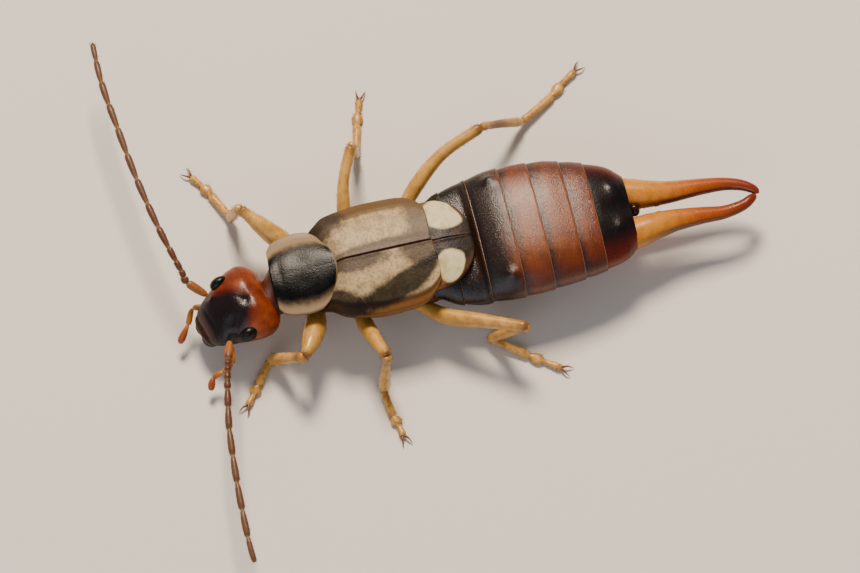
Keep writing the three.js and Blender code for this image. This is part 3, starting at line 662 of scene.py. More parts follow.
def wing_cover(sign, front, front_curve, rear, edge, crown, hem, dip, rows, columns):
    """Top grid of one side's cover and its shares across and along: a small seam ridge, a hem folded
    down, a front edge that dips under the plate before it."""
    u = np.linspace(0, 1, columns)[None, :]
    v = np.linspace(0, 1, rows)[:, None]
    wide = along(edge, v)
    start = front - front_curve * (edge[0][1] * np.minimum(1, u / HEM_START)) ** 2
    y = start + (rear(u) - start) * v
    reach = SEAM_HALF_GAP + (wide - SEAM_HALF_GAP) * np.minimum(1, u / HEM_START) ** 0.96
    fold = np.clip((u - HEM_START) / (1 - HEM_START), 0, 1)
    drop = COVER_DROP * (reach / COVER_REACH) ** 2.6 + hem * fold ** 0.8
    reach = reach + 0.03 * np.sin(fold * math.pi / 2)
    z = crown - drop - 0.06 * (1 - v) ** 2 + SEAM_RIDGE * bell(u - 0.01, 0.03)
    z = z - dip * np.clip(1 - v / 0.16, 0, 1) ** 2
    x = midline(y) + sign * reach
    flip = 1 if sign > 0 else -1
    grid = np.stack([x, np.broadcast_to(y, x.shape), z], -1)[:, ::flip]
    return grid, np.broadcast_to(u, x.shape)[:, ::flip], np.broadcast_to(v, x.shape)[:, ::flip]


def patch(tree, across, run, centre, size, tilt, place, ragged=0.35):
    """A soft-edged blotch, 1 inside, at a share across and along the cover, its edge made ragged."""
    du = add(tree, "ShaderNodeMath", {0: across}, {1: centre[0]}, operation="SUBTRACT").outputs[0]
    dv = add(tree, "ShaderNodeMath", {0: run}, {1: centre[1]}, operation="SUBTRACT").outputs[0]
    plane = add(tree, "ShaderNodeCombineXYZ", {0: du, 1: dv}).outputs[0]
    turned = add(tree, "ShaderNodeMapping", {"Vector": plane},
                 {"Rotation": (0, 0, tilt)}, vector_type="POINT").outputs[0]
    scaled = add(tree, "ShaderNodeVectorMath", {0: turned}, {1: (1 / size[0], 1 / size[1], 1)},
                 operation="MULTIPLY").outputs[0]
    far = add(tree, "ShaderNodeVectorMath", {0: scaled}, operation="LENGTH").outputs["Value"]
    noise = add(tree, "ShaderNodeTexNoise", {"Vector": place},
                {"Scale": 1 / PATCH_RAG_WIDTH, "Detail": 5.0, "Roughness": 0.65})
    moved = add(tree, "ShaderNodeMath", {0: noise.outputs["Fac"], 2: far}, {1: ragged * 2},
                operation="MULTIPLY_ADD").outputs[0]
    return ramp(tree, moved, 1 + ragged + PATCH_SOFTNESS, 1 + ragged - PATCH_SOFTNESS)


def tegmen_base(tree, place, across):
    """Cream leather with a brown outer strip and a thin dark line along it."""
    leather = blended(tree, speckle(tree, place, 0.3, 0.35, 0.7), "#bda57c", "#9c8662")
    leather = blended(tree, times(tree, speckle(tree, place, 0.08, 0.48, 0.62), 0.4), leather, "#5f5141")
    strip = ramp(tree, across, 0.68, 0.78)
    leather = blended(tree, strip, leather, "#7a5126")
    line = times(tree, ramp(tree, across, 0.7, 0.75), ramp(tree, across, 0.83, 0.77))
    return blended(tree, times(tree, line, 0.7), leather, "#3b2413")


def right_tegmen_colour(tree, place):
    """Large cream centre, grey along the seam, shoulder and hind end."""
    across, run = mark(tree, "across"), mark(tree, "run")
    shade = tegmen_base(tree, place, across)
    seam = patch(tree, across, run, (0.03, 0.6), (0.13, 0.75), 0.05, place)
    rear = patch(tree, across, run, (0.35, 1.02), (0.65, 0.22), 0, place)
    shoulder = patch(tree, across, run, (0.82, 0.0), (0.34, 0.3), 0.5, place)
    edge = patch(tree, across, run, (0.78, 0.6), (0.14, 0.75), 0, place)
    for share, colour in ((seam, "#50443a"), (rear, "#5a4c3c"), (edge, "#604a2e"), (shoulder, "#2d241d")):
        shade = blended(tree, times(tree, share, 0.85), shade, colour)
    return blended(tree, ramp(tree, across, 0.024, 0.009), shade, "#2c120a")


def left_tegmen_colour(tree, place):
    """An oblique cream band between a dark shoulder and a dark patch behind the middle."""
    across, run = mark(tree, "across"), mark(tree, "run")
    shade = tegmen_base(tree, place, across)
    shoulder = patch(tree, across, run, (0.78, 0.08), (0.24, 0.3), 0.3, place)
    seam = patch(tree, across, run, (0.05, 0.15), (0.2, 0.42), 0, place)
    rear = patch(tree, across, run, (0.55, 0.66), (0.17, 0.46), -0.56, place, ragged=0.25)
    hind = patch(tree, across, run, (0.06, 0.92), (0.34, 0.24), 0, place)
    for share, colour in ((seam, "#463b33"), (hind, "#4a3d30"), (rear, "#0c0a09"), (shoulder, "#0e0b0a")):
        shade = blended(tree, times(tree, share, 0.9), shade, colour)
    return blended(tree, ramp(tree, across, 0.024, 0.009), shade, "#2c120a")


def tegmen_rear(u, longer):
    """y of the hind edge: slightly bowed, and cut back at its outer corner."""
    return TEGMEN_REAR + longer + 0.05 * np.sin(u * math.pi) - 0.12 * np.clip((u - 0.7) / 0.3, 0, 1) ** 2


TEGMINA = {
    "right": {"sign": -1, "colour": right_tegmen_colour, "longer": -0.04},
    "left": {"sign": 1, "colour": left_tegmen_colour, "longer": 0.0},
}
for side, plan in TEGMINA.items():
    # Leathery cuticle with close coarse pits: dull and grainy, with no clear highlight.
    leather_skin = cuticle(f"tegmen_leather_{side}", plan["colour"], 0.42, coat=0.03, coat_roughness=0.3,
                           bump=1.0, grain=0.075, shine=0.16)
    grid, across, run = wing_cover(plan["sign"], TEGMEN_FRONT, TEGMEN_FRONT_CURVE,
                                   lambda u: tegmen_rear(u, plan["longer"]),
                                   TEGMEN_EDGE, TEGMEN_TOP, TEGMEN_HEM, TEGMEN_FRONT_DIP, 70, 46)
    points, faces, marks = sheet_shell(grid, COVER_THICKNESS, across=across, run=run)
    cover = make_piece(f"tegmen_{side}", points, faces, leather_skin, "tegmina", **marks)
    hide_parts(f"tegmen_{side}")

# Wing pads: the folded tips of the hind wings that stick out behind the tegmina, leathery, each
# with a large cream oval and a dark brown rim.
WING_PAD_REAR = 5.32
WING_PAD_EDGE = [(0, 1.4), (0.35, 1.36), (0.6, 1.22), (0.8, 0.98), (0.93, 0.7), (1, 0.42)]
WING_PAD_TOP = 2.46
WING_PAD_HEM, WING_PAD_FRONT_DIP = 0.1, 0.05
WING_PAD_UNDERLAP = 0.25
WING_PAD_DROOP = 0.22
WING_PAD_OVALS = {
    "right": {"centre": (0.54, 0.48), "size": (0.36, 0.4)},
    "left": {"centre": (0.56, 0.44), "size": (0.33, 0.31)},
}


def wing_pad_colour(tree, place):
    """A cream oval on dark brown leather."""
    across, run = mark(tree, "across"), mark(tree, "run")
    rim = blended(tree, speckle(tree, place, 0.25, 0.4, 0.7), "#130a06", "#3b2512")
    rim = blended(tree, times(tree, ramp(tree, across, 0.5, 0.8), 0.6), rim, "#5a3a1a")
    rim = blended(tree, ramp(tree, run, 0.9, 0.97), rim, "#140b07")
    shoulder = times(tree, ramp(tree, run, 0.28, 0.18), ramp(tree, across, 0.4, 0.7))
    rim = blended(tree, shoulder, rim, "#7a4a1a")
    wavy = add(tree, "ShaderNodeTexNoise", {"Vector": place}, {"Scale": 1 / PATCH_RAG_WIDTH, "Detail": 5.0})
    far = add(tree, "ShaderNodeMath", {0: wavy.outputs["Fac"], 2: mark(tree, "oval")}, {1: 0.16},
              operation="MULTIPLY_ADD").outputs[0]
    oval = ramp(tree, far, 1.16, 0.98)
    cream = blended(tree, speckle(tree, place, 0.3, 0.4, 0.7), "#d6c99c", "#b8a878")
    return blended(tree, oval, rim, cream)


# The same kind of leather as the forewings, a little smoother: a soft sheen on the cream oval.
pad_skin = cuticle("wing_pad_leather", wing_pad_colour, 0.45, coat=0.03, coat_roughness=0.35, bump=0.7,
                   grain=0.07, shine=0.3)
for side, sign in (("right", -1), ("left", 1)):
    grid, across, run = wing_cover(sign, TEGMEN_REAR - WING_PAD_UNDERLAP, 0,
                                   lambda u: np.full_like(u, WING_PAD_REAR),
                                   WING_PAD_EDGE, WING_PAD_TOP, WING_PAD_HEM, WING_PAD_FRONT_DIP, 50, 40)
    grid[..., 2] -= 0.05 * (1 - np.clip((run - 0.1) / 0.3, 0, 1)) + WING_PAD_DROOP * run ** 2
    centre, size = WING_PAD_OVALS[side]["centre"], WING_PAD_OVALS[side]["size"]
    oval = np.hypot((across - centre[0]) / size[0], (run - centre[1]) / size[1])
    points, faces, marks = sheet_shell(grid, COVER_THICKNESS, across=across, run=run, oval=oval)
    pad = make_piece(f"wing_pad_{side}", points, faces, pad_skin, "wing_pads", **marks)
    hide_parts(f"wing_pad_{side}")

# Head: one hard capsule, heart-shaped from above, turned to the left. Chestnut behind with a
# Y-shaped seam, near black in front, glossy.
HEAD_PLACE = np.array([0.26, -1.9, 0.0])
HEAD_TURN = math.radians(16)
HEAD_REAR, HEAD_FRONT = 1.03, -1.27
HEAD_NOTCH = 0.1
HEAD_HALF_WIDTH = [(-1.27, 0.36), (-1.22, 0.5), (-1.1, 0.65), (-0.85, 0.8), (-0.5, 0.95), (-0.15, 1.1),
                   (0.15, 1.2), (0.4, 1.22), (0.65, 1.14), (0.83, 0.98), (0.95, 0.78), (1.01, 0.58),
                   (1.03, 0.42)]
HEAD_TOP = [(-1.27, 1.12), (-1.2, 1.26), (-1.0, 1.5), (-0.5, 1.84), (0, 2.02), (0.35, 2.04), (0.65, 1.95),
            (0.85, 1.8), (0.97, 1.6), (1.03, 1.42)]
HEAD_UNDERSIDE = [(-1.27, 0.94), (-1.1, 0.82), (-0.5, 0.76), (0, 0.8), (0.5, 0.86), (0.85, 0.98),
                  (1.03, 1.2)]
SEAM_PIT = (0.06, 0.16)
SEAM_PIT_WIDTH, SEAM_PIT_DEPTH = 0.12, 0.04
SEAM_STEM_END = (0.0, 1.05)
SEAM_ARM_END = (0.72, -0.5)
SEAM_WIDTH, SEAM_DEPTH = 0.024, 0.022
FRONS_HALF_WIDTH = [(-1.25, 1.1), (-0.8, 1.05), (-0.5, 0.92), (-0.2, 0.72), (0.05, 0.46), (0.24, 0.2),
                    (0.45, -0.2), (1.0, -0.9)]
FRONS_RAG_WIDTH = 5 / 12
MUZZLE_SEAM_Y, MUZZLE_SEAM_WIDTH, MUZZLE_SEAM_DEPTH = -0.98, 0.05, 0.012
# Forms on both halves of the head: place in plan, width and rise.
HEAD_FORMS = {
    "frons_hollow": ((0.42, -0.5), 0.22, -0.05),
    "crown_swelling": ((0.45, 0.3), 0.3, 0.045),
    "antenna_socket": ((0.76, -0.7), 0.13, -0.08),
}


def head_placed(points):
    """Head-frame millimetres to the animal's frame."""
    points = np.asarray(points, float)
    cosine, sine = math.cos(HEAD_TURN), math.sin(HEAD_TURN)
    turned = np.stack([points[..., 0] * cosine - points[..., 1] * sine,
                       points[..., 0] * sine + points[..., 1] * cosine, points[..., 2]], -1)
    return turned + HEAD_PLACE


def distance_to_line(x, y, start, end):
    """Distance in plan from the line between two points."""
    start, end = np.array(start), np.array(end)
    way = end - start
    share = np.clip(((x - start[0]) * way[0] + (y - start[1]) * way[1]) / (way @ way), 0, 1)
    return np.hypot(x - start[0] - share * way[0], y - start[1] - share * way[1])


share = eased(0, 1, 84)[:, None]
angle = np.linspace(0, 2 * math.pi, 112, endpoint=False)[None, :]
sine, cosine = np.sin(angle), np.cos(angle)
y = HEAD_FRONT + (HEAD_REAR - HEAD_FRONT) * share
ends = np.minimum(1, np.minimum(share, 1 - share) / 0.012)
round_wide = np.sqrt(np.clip(1 - (1 - ends) ** 2, 0.001, 1)) * 0.85 + 0.15
top, underside = along(HEAD_TOP, y), along(HEAD_UNDERSIDE, y)
x = sine * along(HEAD_HALF_WIDTH, y) * round_wide
z = (top + underside) / 2 + cosine * (top - underside) / 2 * round_wide
back_share = np.clip((share - 0.6) / 0.4, 0, 1)
y = y - HEAD_NOTCH * (1 - sine ** 2) * back_share * back_share * (3 - 2 * back_share)
upper = np.clip(cosine * 3, 0, 1)
stem = distance_to_line(x, y, SEAM_PIT, SEAM_STEM_END)
arm_left = distance_to_line(x, y, SEAM_PIT, SEAM_ARM_END)
arm_right = distance_to_line(x, y, SEAM_PIT, (-SEAM_ARM_END[0], SEAM_ARM_END[1]))
arms = np.maximum(bell(arm_left, SEAM_WIDTH), bell(arm_right, SEAM_WIDTH))
groove = np.maximum(bell(stem, SEAM_WIDTH), 0.6 * arms)
from_pit = np.hypot(x - SEAM_PIT[0], y - SEAM_PIT[1])
z = z - SEAM_DEPTH * groove * upper - SEAM_PIT_DEPTH * bell(from_pit, SEAM_PIT_WIDTH) * upper
z = z - MUZZLE_SEAM_DEPTH * bell(y - MUZZLE_SEAM_Y, MUZZLE_SEAM_WIDTH) * upper
for (form_x, form_y), width, rise in HEAD_FORMS.values():
    z = z + rise * bell(np.hypot(np.abs(x) - form_x, y - form_y), width) * upper
rings = head_placed(np.stack([x, y, z], -1))


def head_colour(tree, place):
    """Near black in front of the seam's arms, chestnut to orange-brown behind, dark at the seam."""
    rough = add(tree, "ShaderNodeTexNoise", {"Vector": place}, {"Scale": 1 / FRONS_RAG_WIDTH, "Detail": 5.0})
    shifted = add(tree, "ShaderNodeMath", {0: rough.outputs["Fac"], 2: mark(tree, "frons")}, {1: 0.3},
                  operation="MULTIPLY_ADD").outputs[0]
    chestnut = blended(tree, speckle(tree, place, 0.4, 0.35, 0.7), "#66260a", "#883b11")
    shade = blended(tree, ramp(tree, shifted, -0.75, 0.1), chestnut, "#561604")
    shade = blended(tree, ramp(tree, shifted, -0.3, 0.75), shade, "#11060a")
    shade = blended(tree, times(tree, mark(tree, "groove"), 0.75), shade, "#1d0604")
    shade = blended(tree, ramp(tree, mark(tree, "front"), -1.08, -1.26), shade, "#3c1007")
    return blended(tree, times(tree, mark(tree, "under"), 0.8), shade, "#6a300f")


# Thick chestnut cuticle, smooth and well waxed: round clear highlights on the swellings of the crown.
head_skin = cuticle("head_cuticle", head_colour, 0.3, coat=0.06, bump=0.4, shine=0.36)
# The black of the front reaches less far out on the right side.
frons_right = 0.75 + 0.25 * np.clip((-0.5 - y) / 0.3, 0, 1)
frons_half_width = along(FRONS_HALF_WIDTH, y) * np.where(x < 0, frons_right, 1)
frons = np.clip((frons_half_width - np.abs(x - SEAM_PIT[0])) / 0.35, -1, 1)
points, faces, marks = loft(rings, frons=frons, front=y, groove=groove * upper,
                            under=np.clip(-cosine * 2, 0, 1))
head = make_piece("head_capsule", points, faces, head_skin, "head", **marks)
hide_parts("head")

# Compound eyes: smooth black domes of tiny six-sided facets at the sides of the head. The facets
# are about 0.02 mm, drawn at twice that so that they show.
EYE_PLACE = (0.93, -0.2, 1.56)
EYE_RADII = (0.2, 0.31, 0.29)
FACET, FACET_RELIEF = 0.04, 0.01
# Clear chitin lenses over black pigment: black, with a dull highlight that the facets break up.
eye_glass, tree, output = new_material("eye_facets")
place = add(tree, "ShaderNodeTexCoord")
facets = add(tree, "ShaderNodeTexVoronoi", {"Vector": place.outputs["Object"]},
             {"Scale": 1 / (FACET * MM)}, feature="F1")
relief = add(tree, "ShaderNodeBump", {"Height": facets.outputs["Distance"]},
             {"Strength": 0.45, "Distance": FACET_RELIEF * MM}, invert=True)
rings_of_eye = blended(tree, ramp(tree, facets.outputs["Distance"], 0.25, 0.6), "#10130d", "#040504")
surface = add(tree, "ShaderNodeBsdfPrincipled", {"Base Color": rings_of_eye, "Normal": relief.outputs[0]},
              {"Roughness": 0.36, "IOR": 1.5, "Specular IOR Level": 0.22, "Coat Weight": 0.05,
               "Coat Roughness": 0.15})
tree.links.new(surface.outputs[0], output.inputs["Surface"])
for side, sign in (("right", -1), ("left", 1)):
    centre = (sign * EYE_PLACE[0], EYE_PLACE[1], EYE_PLACE[2])
    points, faces, marks = loft(head_placed(egg(centre, EYE_RADII, around=48, steps=32)))
    eye = make_piece(f"eye_{side}", points, faces, eye_glass, "eye", **marks)
    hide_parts(f"eye_{side}")

# Mouthparts: a short broad upper lip over two dark jaws, with the lower lip under them.
# Brown cuticle, a little softer than the head's. Places are in the head's own frame.
LABRUM_PLACE, LABRUM_RADII = (0, -1.13, 0.98), (0.58, 0.26, 0.2)
JAW_PLACE, JAW_RADII = (0.2, -1.06, 0.76), (0.3, 0.33, 0.15)
LOWER_LIP_PLACE, LOWER_LIP_RADII = (0, -0.82, 0.68), (0.42, 0.42, 0.14)


def mouth_colour(tree, place):
    """Brown lip with darker spots."""
    return blended(tree, speckle(tree, place, 0.15), "#33110a", "#180706")


def joined(bodies):
    """Points, faces and marks of several lofts made into one mesh."""
    points = np.vstack([body[0] for body in bodies])
    faces = []
    start = 0
    for own_points, own_faces, own_marks in bodies:
        faces += [tuple(start + k for k in face) for face in own_faces]
        start += len(own_points)
    marks = {name: np.concatenate([body[2][name] for body in bodies]) for name in own_marks}
    return points, faces, marks


# Hard dark cuticle without much wax: a small soft highlight on the lip.
mouth_skin = cuticle("mouth_cuticle", mouth_colour, 0.4, coat=0.05, bump=0.25)
points, faces, marks = loft(head_placed(egg(LABRUM_PLACE, LABRUM_RADII, squareness=0.75)))
labrum = make_piece("labrum", points, faces, mouth_skin, "mouthparts", **marks)
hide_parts("labrum")
jaws = [egg((sign * JAW_PLACE[0], *JAW_PLACE[1:]), JAW_RADII, squareness=0.8) for sign in (-1, 1)]
lower_lip = egg(LOWER_LIP_PLACE, LOWER_LIP_RADII, squareness=0.8)
points, faces, marks = joined([loft(head_placed(rings)) for rings in jaws + [lower_lip]])
mandibles = make_piece("mandibles", points, faces, mouth_skin, "mouthparts", **marks)
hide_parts("mandibles")

# Antennae and palps: chains of small segments, each narrow at its root and widest near its far
# end, with pale soft skin at the joints. Matt grey-brown, covered in short fine hairs.
ANTENNAE = {
    "right": {
        "curve": [(-0.3, -2.8, 1.56), (-0.72, -3.3, 1.88), (-0.99, -3.38, 2.0), (-1.45, -3.51, 2.1),
                  (-2.54, -3.78, 2.2), (-4.19, -4.07, 2.2), (-5.95, -4.28, 2.2), (-7.54, -4.43, 2.15),
                  (-8.93, -4.42, 2.05)],
        "lengths": (0.66, 0.19, 0.19, 0.3, 0.43, 0.67, 0.78, 0.8, 0.82, 0.83, 0.77, 0.73, 0.68, 0.57),
    },
    "left": {
        "curve": [(1.33, -2.46, 1.56), (2.12, -2.68, 1.86), (2.46, -2.77, 1.95), (3.03, -2.89, 2.0),
                  (4.29, -3.11, 2.0), (5.97, -3.25, 2.0), (7.71, -3.31, 1.95), (8.45, -3.28, 1.9)],
        "lengths": (0.66, 0.19, 0.2, 0.26, 0.3, 0.54, 0.67, 0.77, 0.8, 0.82, 0.8, 0.74),
    },
}
ANTENNA_HALF_WIDTH = [(0, 0.14), (0.08, 0.135), (0.12, 0.1), (0.3, 0.11), (0.8, 0.11), (1, 0.085)]
BARE_ROOT_RINGS = 8
# One segment: share of its length, share of the limb's thickness, and how pale the joint's skin is.
SEGMENT = [(0, 0.46, 1), (0.03, 0.52, 1), (0.08, 0.68, 0.3), (0.25, 0.86, 0), (0.5, 0.98, 0), (0.75, 1, 0),
           (0.9, 0.92, 0), (0.965, 0.7, 0.4), (0.995, 0.46, 1)]


def beaded(curve, lengths, half_width, around):
    """Rings, shares of the length, and a joint mark for a chain of segments."""
    total = sum(lengths)
    shares, swell, joint = [], [], []
    run = 0.0
    for length in lengths:
        for place, size, pale in SEGMENT:
            shares.append((run + length * place) / total)
            swell.append(size)
            joint.append(pale)
        run += length
    shares = np.array(shares)
    size = along(half_width, shares) * np.array(swell)
    size[-1] *= 0.4
    return tube(curve, shares, size, size, around), shares, np.array(joint)


def antenna_colour(tree, place):
    """Orange-brown root segment, grey-brown beyond, pale at the joints."""
    run = mark(tree, "run")
    shade = blended(tree, ramp(tree, run, 0.05, 0.1), "#a05c22", "#5a2e14")
    shade = blended(tree, ramp(tree, run, 0.12, 0.6), shade, "#654026")
    shade = blended(tree, times(tree, speckle(tree, place, 0.06), 0.3), shade, "#2c1710")
    return blended(tree, times(tree, mark(tree, "joint"), 0.6), shade, "#a88458")


# Thin cuticle roughened by the sockets of its hairs: matt, with a faint line of light on each bead.
antenna_skin = cuticle("antenna_cuticle", antenna_colour, 0.45, coat=0.15, bump=0.5, grain=0.03)
antenna_beds = []
for side, plan in ANTENNAE.items():
    rings, shares, joint = beaded(plan["curve"], plan["lengths"], ANTENNA_HALF_WIDTH, around=24)
    antenna_beds.append(rings[BARE_ROOT_RINGS:])
    points, faces, marks = loft(rings, run=shares[:, None], joint=joint[:, None])
    feeler = make_piece(f"antenna_{side}", points, faces, antenna_skin, "antenna", **marks)
    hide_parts(f"antenna_{side}")

PALPS = {
    "right": {"curve": [(-0.1, -2.75, 1.0), (-0.2, -3.25, 0.98), (0.18, -3.5, 0.8), (0.62, -3.87, 0.48)],
              "lengths": (0.5, 0.5, 0.6)},
    "left": {"curve": [(1.25, -2.4, 1.0), (1.8, -2.52, 0.98), (1.93, -2.83, 0.8), (1.97, -3.12, 0.6),
                       (2.28, -3.28, 0.4)], "lengths": (0.55, 0.35, 0.35, 0.4)},
}
PALP_HALF_WIDTH = [(0, 0.1), (0.7, 0.095), (0.9, 0.118), (1, 0.08)]


def palp_colour(tree, place):
    """Amber, paler at the joints."""
    shade = blended(tree, ramp(tree, mark(tree, "run"), 0.5, 0.9), "#a8691f", "#8d4215")
    return blended(tree, times(tree, mark(tree, "joint"), 0.6), shade, "#c09a5a")


# Soft thin cuticle that lets light through: the palps glow amber.
palp_skin = cuticle("palp_cuticle", palp_colour, 0.4, coat=0.25, bump=0.3, thin=0.15)
for side, plan in PALPS.items():
    rings, shares, joint = beaded(plan["curve"], plan["lengths"], PALP_HALF_WIDTH, around=20)
    points, faces, marks = loft(rings, run=shares[:, None], joint=joint[:, None])
    palp = make_piece(f"palp_{side}", points, faces, palp_skin, "palp", **marks)
    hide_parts(f"palp_{side}")

# Legs: six, of yellow-brown cuticle. A stout thigh, a slim shin, and a foot of three joints that
# lies on the floor: a long one, a short lobed one and a slender one with two claws.
LEGS = {
    "front_right": {
        "femur": [(-0.75, 0.2, 0.95), (-1.45, -0.1, 1.22), (-2.05, -0.65, 1.55), (-2.7, -1.24, 1.82)],
        "ankle": (-3.14, -1.47, 0.26),
        "foot": [(-4.03, -1.87, 0.12), (-4.37, -2.06, 0.1), (-4.78, -2.35, 0.11)],
        "thick": 0.34, "shin": 0.17},
    "front_left": {
        "femur": [(0.6, 0.35, 0.95), (1.2, 0.2, 1.2), (1.85, -0.08, 1.5), (2.4, -0.4, 1.78)],
        "ankle": (1.66, -1.32, 0.26),
        "foot": [(2.33, -1.86, 0.12), (2.56, -2.02, 0.1), (2.88, -2.28, 0.11)],
        "thick": 0.36, "shin": 0.18},
    "middle_right": {
        "femur": [(-1.0, 1.55, 0.95), (-2.0, 1.8, 1.25), (-2.95, 2.02, 1.66), (-3.92, 2.48, 1.9)],
        "ankle": (-4.28, 2.7, 0.26),
        "foot": [(-5.19, 2.93, 0.12), (-5.6, 3.05, 0.1), (-6.1, 3.22, 0.11)],
        "thick": 0.22, "shin": 0.15},
    "middle_left": {
        "femur": [(0.8, 1.55, 0.95), (1.6, 1.66, 1.22), (2.3, 1.82, 1.56), (2.97, 2.0, 1.86)],
        "ankle": (3.38, 1.78, 0.26),
        "foot": [(4.12, 1.87, 0.12), (4.5, 1.97, 0.1), (4.9, 2.05, 0.11)],
        "thick": 0.27, "shin": 0.16},
    "hind_right": {
        "femur": [(-1.2, 3.2, 0.95), (-2.2, 3.9, 1.2), (-3.1, 5.05, 1.62), (-3.62, 6.46, 1.92)],
        "ankle": (-4.19, 7.86, 0.28),
        "foot": [(-4.83, 8.9, 0.12), (-5.14, 9.28, 0.1), (-5.54, 9.85, 0.11)],
        "thick": 0.24, "shin": 0.14},
    "hind_left": {
        "femur": [(1.0, 3.2, 0.95), (1.84, 4.05, 1.2), (2.4, 5.1, 1.56), (3.03, 6.3, 1.92)],
        "ankle": (2.5, 5.26, 0.28),
        "foot": [(3.2, 6.24, 0.12), (3.48, 6.64, 0.1), (3.86, 7.18, 0.11)],
        "thick": 0.26, "shin": 0.15},
}
# Half thickness of the thigh as shares of the leg's own, then of its knee in millimetres.
THIGH_SHAPE = [(0, 0.7), (0.2, 0.95), (0.4, 1.04), (0.7, 0.84)]
KNEE_SHAPE = [(0.9, 0.19), (0.97, 0.185), (1, 0.1)]
THIGH_FLATNESS = 0.92
COXA_RADII = (0.4, 0.36, 0.27)
COXA_DROP = 0.04
SHIN_SHAPE = [(0, 0.75), (0.06, 1.0), (0.14, 0.84), (0.5, 0.95), (0.88, 1.04), (1, 0.7)]
SHIN_BOW = 0.04
# Share of the foot's length, half width and half height in millimetres.
FOOT_SHAPE = [(0.0, 0.07, 0.07), (0.03, 0.12, 0.12), (0.1, 0.11, 0.11), (0.3, 0.12, 0.11),
              (0.45, 0.13, 0.11), (0.52, 0.13, 0.1), (0.545, 0.09, 0.07), (0.56, 0.09, 0.07),
              (0.6, 0.15, 0.1), (0.66, 0.18, 0.09), (0.7, 0.17, 0.09), (0.73, 0.12, 0.08),
              (0.745, 0.07, 0.06), (0.76, 0.08, 0.07), (0.85, 0.09, 0.08), (0.93, 0.11, 0.1),
              (0.98, 0.1, 0.09), (1.0, 0.05, 0.04)]
CLAW_LENGTH = 0.34
CLAW_SPREAD = math.radians(36)
CLAW_HALF_WIDTH, CLAW_HALF_HEIGHT, CLAW_TAPER = 0.045, 0.05, 0.85
CLAW_CLEARANCE = 0.002


def leg_colour(tree, place):
    """Yellow-brown, darker at knee and ankle."""
    shade = blended(tree, speckle(tree, place, 0.3, 0.35, 0.7), "#cc9c4a", "#b37f30")
    return blended(tree, times(tree, mark(tree, "dark"), 0.8), shade, "#55240c")


def foot_colour(tree, place):
    """Honey-yellow, with red-brown claws."""
    shade = blended(tree, speckle(tree, place, 0.12, 0.4, 0.65), "#cc9c4c", "#ac7830")
    return blended(tree, mark(tree, "dark"), shade, "#6e3a12")


# Thin smooth waxed cuticle with light inside it: yellow like horn, with a bright line along each limb.
leg_skin = cuticle("leg_cuticle", leg_colour, 0.36, coat=0.35, bump=0.3, grain=0.04, thin=0.15)
# The same, rougher from its dense hairs: a softer line of light.
foot_skin = cuticle("foot_cuticle", foot_colour, 0.42, coat=0.25, bump=0.35, grain=0.03, thin=0.12)


def make_femur(place_name, leg):
    """The thigh and the leg's rounded root as one piece. Returns the thigh's hairy rings."""
    shares = eased(0.03, 0.99, 44)
    thigh = along([(share, leg["thick"] * size) for share, size in THIGH_SHAPE] + KNEE_SHAPE, shares)
    rings = tube(leg["femur"], shares, thigh * THIGH_FLATNESS, thigh, 28)
    root = np.array(leg["femur"][0]) * (0.86, 1, 1) - (0, 0, COXA_DROP)
    points, faces, marks = joined([loft(rings, dark=np.clip((shares - 0.9) / 0.1, 0, 1)[:, None]),
                                   loft(egg(root, COXA_RADII), dark=0.7)])
    femur = make_piece(f"femur_{place_name}", points, faces, leg_skin, "legs", **marks)
    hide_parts(f"femur_{place_name}")
    return rings[14:]


def make_tibia(place_name, leg):
    """The shin, slightly bowed up. Returns its hairy rings."""
    knee, ankle = np.array(leg["femur"][-1]), np.array(leg["ankle"])
    shares = eased(0.02, 0.98, 34)
    calf = leg["shin"] * along(SHIN_SHAPE, shares)
    rings = tube([knee, (knee + ankle) / 2 + (0, 0, SHIN_BOW), ankle], shares, calf, calf, 24)
    dark = bell(shares - 0.12, 0.1) * 0.8 + np.clip((shares - 0.92) / 0.08, 0, 1) * 0.5
    if place_name == "hind_right":
        # This shin is brown over its whole upper half.
        dark = bell(shares - 0.35, 0.3)
    points, faces, marks = loft(rings, dark=dark[:, None])
    tibia = make_piece(f"tibia_{place_name}", points, faces, leg_skin, "legs", **marks)
    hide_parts(f"tibia_{place_name}")
    return rings[4:]


def claw_rings(toe, heading, sign):
    """Rings of one hooked claw, which spreads to its side and curves back to the foot's heading."""
    cosine, sine = math.cos(CLAW_SPREAD), sign * math.sin(CLAW_SPREAD)
    aim = np.array([heading[0] * cosine - heading[1] * sine, heading[0] * sine + heading[1] * cosine, 0])
    hook = [toe - heading * 0.04, toe + aim * CLAW_LENGTH * 0.5 + (0, 0, 0.03),
            toe + aim * CLAW_LENGTH * 0.75 + heading * CLAW_LENGTH * 0.35 - (0, 0, 0.07)]
    bend = np.linspace(0, 1, 12)
    taper = 1 - CLAW_TAPER * bend
    rings = tube(hook, bend, CLAW_HALF_WIDTH * taper, CLAW_HALF_HEIGHT * taper, 12)
    rings[..., 2] = np.maximum(rings[..., 2], CLAW_CLEARANCE)
    return rings


def make_foot(place_name, leg):
    """The three joints of the foot and its two claws, flat on the floor. Returns its hairy rings."""
    walk = [leg["ankle"]] + leg["foot"]
    shares, wide, tall = np.array(FOOT_SHAPE).T
    rings = tube(walk, shares, wide, tall, 22)
    rings[..., 2] = np.maximum(rings[..., 2], 0)
    toe, heading = np.array(walk[-1]), np.array(walk[-1]) - np.array(walk[-2])
    heading[2] = 0
    heading /= np.linalg.norm(heading)
    claws = [loft(claw_rings(toe, heading, sign), dark=1.0) for sign in (-1, 1)]
    points, faces, marks = joined([loft(rings, dark=0.0)] + claws)
    foot = make_piece(f"foot_{place_name}", points, faces, foot_skin, "feet", **marks)
    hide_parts(f"foot_{place_name}")
    return rings


